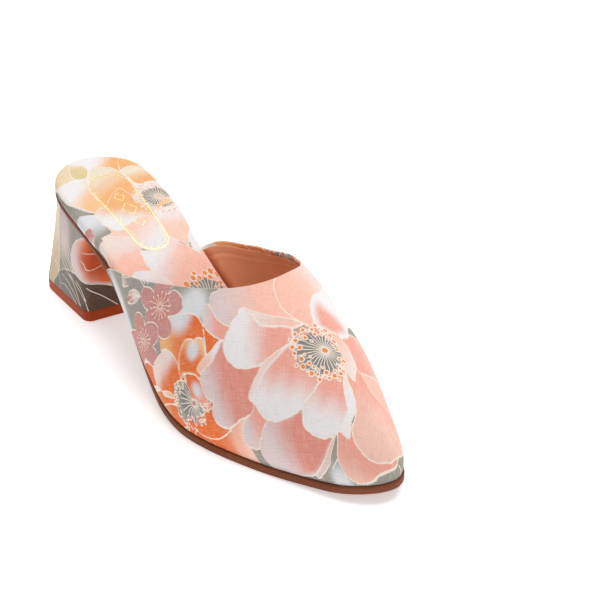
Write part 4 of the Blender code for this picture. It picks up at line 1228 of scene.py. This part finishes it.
# A flower's heart: a disc with spokes and a ring of dots round it, laid over the colour that comes in
def makeHeartGroup():
    t, start, end = newGroup("flowerHeart", [
        ("Colour", "Color", None), ("Place", "Vector", None), ("Centre", "Vector", None),
        ("Reach", "Float", 12.0), ("Spokes", "Float", 26.0), ("Inner", "Float", 0.62), ("Cell", "Float", 3.0),
        ("Dot", "Float", 1.0), ("Disc", "Float", 1.0), ("Tip", "Float", 0.0), ("Lean", "Float", 0.0),
        ("Core", "Vector", (0, 0, 0)), ("Squash", "Vector", (1, 1, 1)), ("Disc Dye", "Color", None),
        ("Dot Dye", "Color", None), ("Line Dye", "Color", None)], [("Colour", "Color")])
    away = t.vector("SUBTRACT", start["Place"], start["Centre"])
    away = t.node("ShaderNodeVectorRotate", {"Vector": away, "Angle": start["Lean"]},
                  rotation_type="Z_AXIS").outputs[0]
    away = t.vector("MULTIPLY", away, start["Squash"])
    fromCore = t.vector("SUBTRACT", away, start["Core"])
    parts = t.node("ShaderNodeSeparateXYZ", [fromCore])
    fromMiddle = t.vector("LENGTH", t.vector("MULTIPLY", away, (1, 1, 0)))
    r = t.vector("LENGTH", t.vector("MULTIPLY", fromCore, (1, 1, 0)))
    turn = t.math("ARCTAN2", parts.outputs[1], parts.outputs[0])
    share = t.over(r, start["Reach"])
    wobble = t.node("ShaderNodeTexNoise", {"Vector": away, "Scale": 0.30, "Detail": 2.0}).outputs[0]
    spread = t.times(t.minus(wobble, 0.5), 0.22)
    rough = t.plus(t.over(fromMiddle, start["Reach"]), spread)
    past = t.minus(rough, start["Inner"])
    disc = t.times(t.between(past, 0.02, 0.08), start["Disc"])
    colour = t.mix(disc, start["Colour"], start["Disc Dye"])
    along = t.over(t.times(turn, start["Spokes"]), 2 * math.pi)
    phase = t.plus(along, t.times(wobble, 0.9))
    offset = t.positive(t.minus(t.math("FRACT", phase), 0.5))
    apart = t.over(t.times(t.times(offset, r), 2 * math.pi), start["Spokes"])
    which = t.node("ShaderNodeTexWhiteNoise", {"W": t.math("FLOOR", phase)}, noise_dimensions="1D").outputs[0]
    tipped = t.math("GREATER_THAN", start["Tip"], 0.01)
    tipShare = t.math("MULTIPLY_ADD", which, 0.22, start["Inner"])
    pastTip = t.times(t.minus(share, tipShare), tipped)
    ending = t.between(t.minus(past, tipped), 0.0, 0.10)
    spoke = t.times(t.between(apart, 0.08, 0.24),
                   t.times(ending, t.between(pastTip, 0.0, 0.03)))
    short = t.times(t.minus(share, tipShare), start["Reach"])
    tipGap = t.math("SQRT", t.plus(t.math("POWER", short, 2.0), t.math("POWER", apart, 2.0)))
    tip = t.between(t.minus(tipGap, start["Tip"]), -0.06, 0.06)
    tip = t.times(tip, tipped)
    spoke = t.times(spoke, t.between(share, 0.08, 0.13, 0.0, 1.0))
    colour = t.mix(spoke, colour, start["Line Dye"])
    moved = t.vector("ADD", away, (31.7, 12.9, 0))
    cells = t.node("ShaderNodeTexVoronoi", {"Vector": moved, "Randomness": 0.5,
                                            "Scale": t.over(1.0, start["Cell"])},
                   voronoi_dimensions="2D")
    gap = t.times(cells.outputs["Distance"], start["Cell"])
    chance = t.node("ShaderNodeSeparateXYZ", [cells.outputs["Color"]]).outputs[0]
    size = t.times(t.math("MULTIPLY_ADD", chance, 0.55, 0.50), start["Dot"])
    spare = t.minus(gap, size)
    band = t.times(t.between(past, -0.06, 0.0, 0.0, 1.0), t.between(rough, 0.96, 1.04))
    ringMask = t.times(t.between(spare, 0.28, 0.42), band)
    dotMask = t.times(t.between(spare, -0.06, 0.06), band)
    colour = t.mix(ringMask, colour, start["Line Dye"])
    colour = t.mix(dotMask, colour, start["Dot Dye"])
    core = t.times(t.between(share, 0.09, 0.11), start["Disc"])
    colour = t.mix(core, colour, start["Dot Dye"])
    colour = t.mix(tip, colour, start["Dot Dye"])
    t.link(colour, end["Colour"])
    return t.tree


# Gold foil on the insole: a long oval of one plain and one dotted line, with three lozenges in a row; a line
# is (half its width, the same with its soft edge)
foilSizes = {"rear": 31.0, "length": 41.0, "drift": -1.4, "side": -0.2, "radius": 10.6, "taper": -2.6,
             "line": (0.26, 0.38), "innerLine": (0.12, 0.24), "innerGap": 1.4, "dotPitch": 1.5,
             "lozenges": ((40.0, 3.2), (50.0, 4.6), (60.0, 3.2)), "lozengeLine": (0.26, 0.40)}


def makeFoilGroup():
    s = foilSizes
    t, start, end = newGroup("foilOval", [("Place", "Vector", None)], [("Foil", "Float")])
    parts = t.node("ShaderNodeSeparateXYZ", [start["Place"]])
    p, q = parts.outputs[0], parts.outputs[1]
    along = t.over(t.minus(p, s["rear"]), s["length"], clamp=True)
    axisP = t.math("MULTIPLY_ADD", along, s["length"], s["rear"])
    axisQ = t.math("MULTIPLY_ADD", along, s["drift"], s["side"])
    dp, dq = t.minus(p, axisP), t.minus(q, axisQ)
    away = t.math("SQRT", t.plus(t.times(dp, dp), t.times(dq, dq)))
    edge = t.minus(away, t.math("MULTIPLY_ADD", along, s["taper"], s["radius"]))
    plain = t.between(t.positive(edge), *s["line"])
    inner = t.between(t.positive(t.plus(edge, s["innerGap"])), *s["innerLine"])
    run = t.plus(p, t.times(t.math("ARCTAN2", dq, t.plus(dp, 0.001)), 6.0))
    beat = t.math("FRACT", t.over(run, s["dotPitch"]))
    dots = t.between(t.positive(t.minus(beat, 0.5)), 0.26, 0.34)
    foil = t.math("MAXIMUM", plain, t.times(inner, dots))
    for centre, size in s["lozenges"]:
        dp = t.positive(t.minus(p, centre))
        dq = t.positive(t.plus(q, 0.8))
        ring = t.positive(t.minus(t.math("MULTIPLY_ADD", dq, 1.25, dp), size))
        foil = t.math("MAXIMUM", foil, t.between(ring, *s["lozengeLine"]))
    t.link(foil, end["Foil"])
    return t.tree


# Grain and small folds of a finished skin
def makeGrainGroup():
    t, start, end = newGroup("skinGrain", [("Place", "Vector", None), ("Grain", "Float", 900.0),
                                           ("Folds", "Float", 60.0)],
                             [("Height", "Float"), ("Mottle", "Float")])
    pores = t.node("ShaderNodeTexVoronoi", {"Vector": start["Place"], "Scale": start["Grain"]}).outputs[0]
    folds = t.node("ShaderNodeTexNoise", {"Vector": start["Place"], "Scale": start["Folds"], "Detail": 4.0,
                                          "Distortion": 0.6}).outputs[0]
    mottle = t.node("ShaderNodeTexNoise", {"Vector": start["Place"], "Scale": 35.0, "Detail": 3.0}).outputs[0]
    t.link(t.plus(t.times(pores, 0.35), folds), end["Height"])
    t.link(mottle, end["Mottle"])
    return t.tree


groups = {"weave": makeWeaveGroup(), "heart": makeHeartGroup(), "foil": makeFoilGroup(),
          "grain": makeGrainGroup()}
print("node groups made")


def newMaterial(name, roughness, specular=0.5):
    material = bpy.data.materials.new(name)
    material.use_nodes = True
    shader = material.node_tree.nodes["Principled BSDF"]
    shader.inputs["Roughness"].default_value = roughness
    shader.inputs["Specular IOR Level"].default_value = specular
    return material, Tree(material.node_tree), shader


# Links the colour and a bump to a material's shader
def connect(t, shader, colour, strength, distance, height):
    bump = t.node("ShaderNodeBump", {"Strength": strength, "Distance": distance, "Height": height})
    t.link(colour, shader.inputs["Base Color"])
    t.link(bump.outputs[0], shader.inputs["Normal"])


clothFinish = {"pitch": 1.05, "turn": 0.78, "lightStreak": 0.8, "darkStreak": 0.55, "gapShade": 0.12,
               "bump": 0.5, "bumpHeight": 0.00015, "roughness": 0.82, "specular": 0.2, "lineHalf": 0.21,
               "sheen": 0.05, "gilt": srgb(226, 202, 140), "giltMetal": 0.65, "giltRoughness": 0.32}


def addHeart(t, colour, place, heart):
    inputs = {"Colour": colour, "Place": place}
    labels = ("Centre", "Reach", "Spokes", "Inner", "Cell", "Dot", "Disc", "Tip", "Lean", "Core", "Squash",
              "Disc Dye", "Dot Dye", "Line Dye")
    for label, value in zip(labels, heart):
        if label.endswith("Dye"):
            value = (*dyes[value], 1)
        elif isinstance(value, tuple):
            value = (*value, 0)
        inputs[label] = value
    return t.group("heart", inputs).outputs["Colour"]


# The painted sheet, the fine lines, the flowers' hearts, the weave and the foil, one over the other
def printedCloth(name, hearts, foil=False, streaks=1.0):
    s = clothFinish
    material, t, shader = newMaterial(name, s["roughness"], s["specular"])
    cloth = t.node("ShaderNodeUVMap", uv_map="clothMap").outputs[0]
    place = t.vector("MULTIPLY_ADD", cloth, (clothSpan, clothSpan, 0), (-clothSpan / 2, -clothSpan / 2, 0))
    painted = t.node("ShaderNodeAttribute", attribute_name="printColour")
    gap = t.node("ShaderNodeAttribute", attribute_name="lineGap").outputs["Fac"]
    uneven = t.node("ShaderNodeTexNoise", {"Vector": place, "Scale": 0.8, "Detail": 1.0}).outputs[0]
    gap = t.plus(gap, t.times(t.minus(uneven, 0.5), 0.14))
    line = t.between(gap, s["lineHalf"] - 0.07, s["lineHalf"] + 0.09)
    plain = t.mix(line, painted.outputs["Color"], dyes["line"])
    colour = plain
    for heart in hearts:
        colour = addHeart(t, colour, place, heart)
    colour = t.mix(painted.outputs["Alpha"], plain, colour)
    weave = t.group("weave", {"Place": place, "Pitch": s["pitch"], "Turn": s["turn"]})
    height = weave.outputs["Height"]
    light = t.times(weave.outputs["Streak"], s["lightStreak"] * streaks, clamp=True)
    colour = t.mix(light, colour, dyes["white"])
    dark = t.times(weave.outputs["Streak"], -s["darkStreak"], clamp=True)
    between = t.times(t.minus(1.0, height), s["gapShade"])
    colour = t.mix(t.plus(dark, between, clamp=True), colour, dyes["slate"])
    if foil:
        gilt = t.group("foil", {"Place": place}).outputs["Foil"]
        colour = t.mix(gilt, colour, s["gilt"])
        t.link(t.times(gilt, s["giltMetal"]), shader.inputs["Metallic"])
        t.link(t.between(gilt, 0.0, 1.0, s["roughness"], s["giltRoughness"]), shader.inputs["Roughness"])
        height = t.minus(height, t.times(gilt, 0.8))
    connect(t, shader, colour, s["bump"], s["bumpHeight"], height)
    shader.inputs["Sheen Weight"].default_value = s["sheen"]
    return material


skins = {
    "liningLeather": {"light": srgb(240, 162, 118), "dark": srgb(230, 148, 102), "roughness": 0.62,
                      "specular": 0.5, "grain": 1600.0, "folds": 90.0, "bump": 0.25, "bumpHeight": 0.0004},
    "liftRubber": {"light": srgb(176, 70, 16), "dark": srgb(164, 60, 10), "roughness": 0.55, "specular": 0.2,
                   "grain": 2200.0, "folds": 700.0, "bump": 0.3, "bumpHeight": 0.0002},
    "soleRubber": {"light": srgb(132, 74, 46), "dark": srgb(118, 62, 36), "roughness": 0.6, "specular": 0.2,
                   "grain": 2200.0, "folds": 700.0, "bump": 0.3, "bumpHeight": 0.0002},
}


# Leather or rubber, a little mottled
def skinMaterial(name):
    s = skins[name]
    material, t, shader = newMaterial(name, s["roughness"], s["specular"])
    place = t.node("ShaderNodeTexCoord").outputs["Object"]
    grain = t.group("grain", {"Place": place, "Grain": s["grain"], "Folds": s["folds"]})
    tone = t.between(grain.outputs["Mottle"], 0.3, 0.7, 0.0, 1.0)
    colour = t.mix(tone, s["dark"], s["light"])
    connect(t, shader, colour, s["bump"], s["bumpHeight"], grain.outputs["Height"])
    return material


# Hearts of the print's flowers: centre, reach, spokes, share of the reach inside the dots, cell, dot, disc,
# tip, lean, core, squash, and the dyes of the disc, the dots and the lines
upperHearts = [
    ((203.6, -2.5), 12.5, 30, 0.68, 1, -1, 1, 0, 0, (0.1, 3.0), (1, 1), "slate", "orange", "line"),
    ((172.2, -62.3), 9.4, 26, 0.64, 1, -1, 1, 0, 0, (2.3, 2.9), (1, 1), "slate", "mauve", "line"),
    ((136.2, -48.3), 7.4, 14, 0.72, 1, -1, 0, 0.45, -0.79, (0, 0), (0.88, 1.3), "petalPink", "pale", "line"),
    ((131.3, -68.4), 7.2, 14, 0.72, 1, -1, 0, 0.5, -0.82, (0, 0), (0.74, 1.6), "petalPink", "pale", "line"),
    ((133, 38), 16.0, 34, 0.60, 2.6, 1.1, 1, 0, 0, (0, 0), (1, 1), "slate", "coral", "line"),
    ((226, 44), 7.0, 14, 0.76, 1, -1, 0, 0.45, 0, (0, 0), (1, 1), "petalPink", "flame", "line"),
]
insoleHearts = [
    ((46, 17), 12.8, 30, 0.60, 2.0, 0.75, 1, 0, 0, (0, 0), (1, 1), "slate", "blush", "line"),
    ((109.6, 8), 15.0, 34, 0.66, 1, -1, 1, 0, 0, (0, 0), (1, 1), "slate", "orange", "line"),
]
heelHearts = [((58, 46), 8.0, 20, 0.5, 2.4, 0.9, 0, 0, 0, (0, 0), (0.6, 1.4), "rose", "flame", "line")]

finishPiece(makeUpper(), printedCloth("upperPrint", upperHearts), "upper")
finishPiece(makeLining(), skinMaterial("liningLeather"), None)
finishPiece(makeInsole(), printedCloth("insolePrint", insoleHearts, foil=True), "insole")
finishPiece(makeHeel(), printedCloth("heelPrint", heelHearts, streaks=0.35), "heel")
finishPiece(makeLift(), skinMaterial("liftRubber"), "heel_lift")
finishPiece(makeOutsole(), skinMaterial("soleRubber"), "outsole")
print("pieces finished")


# Floor, soft lights and the camera at the photograph's place
studio = {"floorSize": 30.0, "floorColour": 0.98, "floorRoughness": 0.9, "floorGlow": 0.46, "world": 0.38,
          "lights": (("overhead", (-0.5, 0.9, 2.8), 3.2, 86), ("front", (1.2, -0.9, 0.9), 1.0, 1.8))}
view = {"azimuth": 55.92, "elevation": 26.50, "distance": 0.67044, "aim": (0.00175, 0.04855, 0.020),
        "roll": 0.40, "lens": 88.2, "shift": (-0.0209, 0.0068)}


def makeFloor():
    bpy.ops.mesh.primitive_plane_add(size=studio["floorSize"])
    floor = bpy.context.object
    floor.name = "floor"
    material, _, shader = newMaterial("paleFloor", studio["floorRoughness"], 0.1)
    shader.inputs["Base Color"].default_value = (*[studio["floorColour"]] * 3, 1)
    shader.inputs["Emission Color"].default_value = (1, 1, 1, 1)
    shader.inputs["Emission Strength"].default_value = studio["floorGlow"]
    floor.data.materials.append(material)


def makeLight(name, place, size, power):
    data = bpy.data.lights.new(name, "AREA")
    data.shape = "DISK"
    data.size = size
    data.energy = power
    lamp = bpy.data.objects.new(name, data)
    bpy.context.scene.collection.objects.link(lamp)
    lamp.location = place
    aim = Vector((0, 0, 0.03)) - Vector(place)
    lamp.rotation_euler = aim.to_track_quat("-Z", "Y").to_euler()


def makeCamera():
    a, e, roll = (math.radians(view[key]) for key in ("azimuth", "elevation", "roll"))
    back = Vector((math.sin(a) * math.cos(e), -math.cos(a) * math.cos(e), math.sin(e)))
    right = Vector((math.cos(a), math.sin(a), 0))
    up = back.cross(right)
    rolledRight = right * math.cos(roll) + up * math.sin(roll)
    rolledUp = up * math.cos(roll) - right * math.sin(roll)
    data = bpy.data.cameras.new("camera")
    data.sensor_width = 36
    data.lens = view["lens"]
    data.shift_x, data.shift_y = view["shift"]
    data.clip_start, data.clip_end = 0.01, 20
    camera = bpy.data.objects.new("camera", data)
    bpy.context.scene.collection.objects.link(camera)
    turned = Matrix((rolledRight, rolledUp, back)).transposed()
    camera.matrix_world = Matrix.Translation(Vector(view["aim"]) + back * view["distance"]) @ turned.to_4x4()
    bpy.context.scene.camera = camera


makeFloor()
for light in studio["lights"]:
    makeLight(*light)
world = bpy.data.worlds.new("studio")
bpy.context.scene.world = world
world.use_nodes = True
world.node_tree.nodes["Background"].inputs[0].default_value = (1, 1, 1, 1)
world.node_tree.nodes["Background"].inputs[1].default_value = studio["world"]
makeCamera()
bpy.context.scene.view_settings.view_transform = "Standard"
print("stage ready")
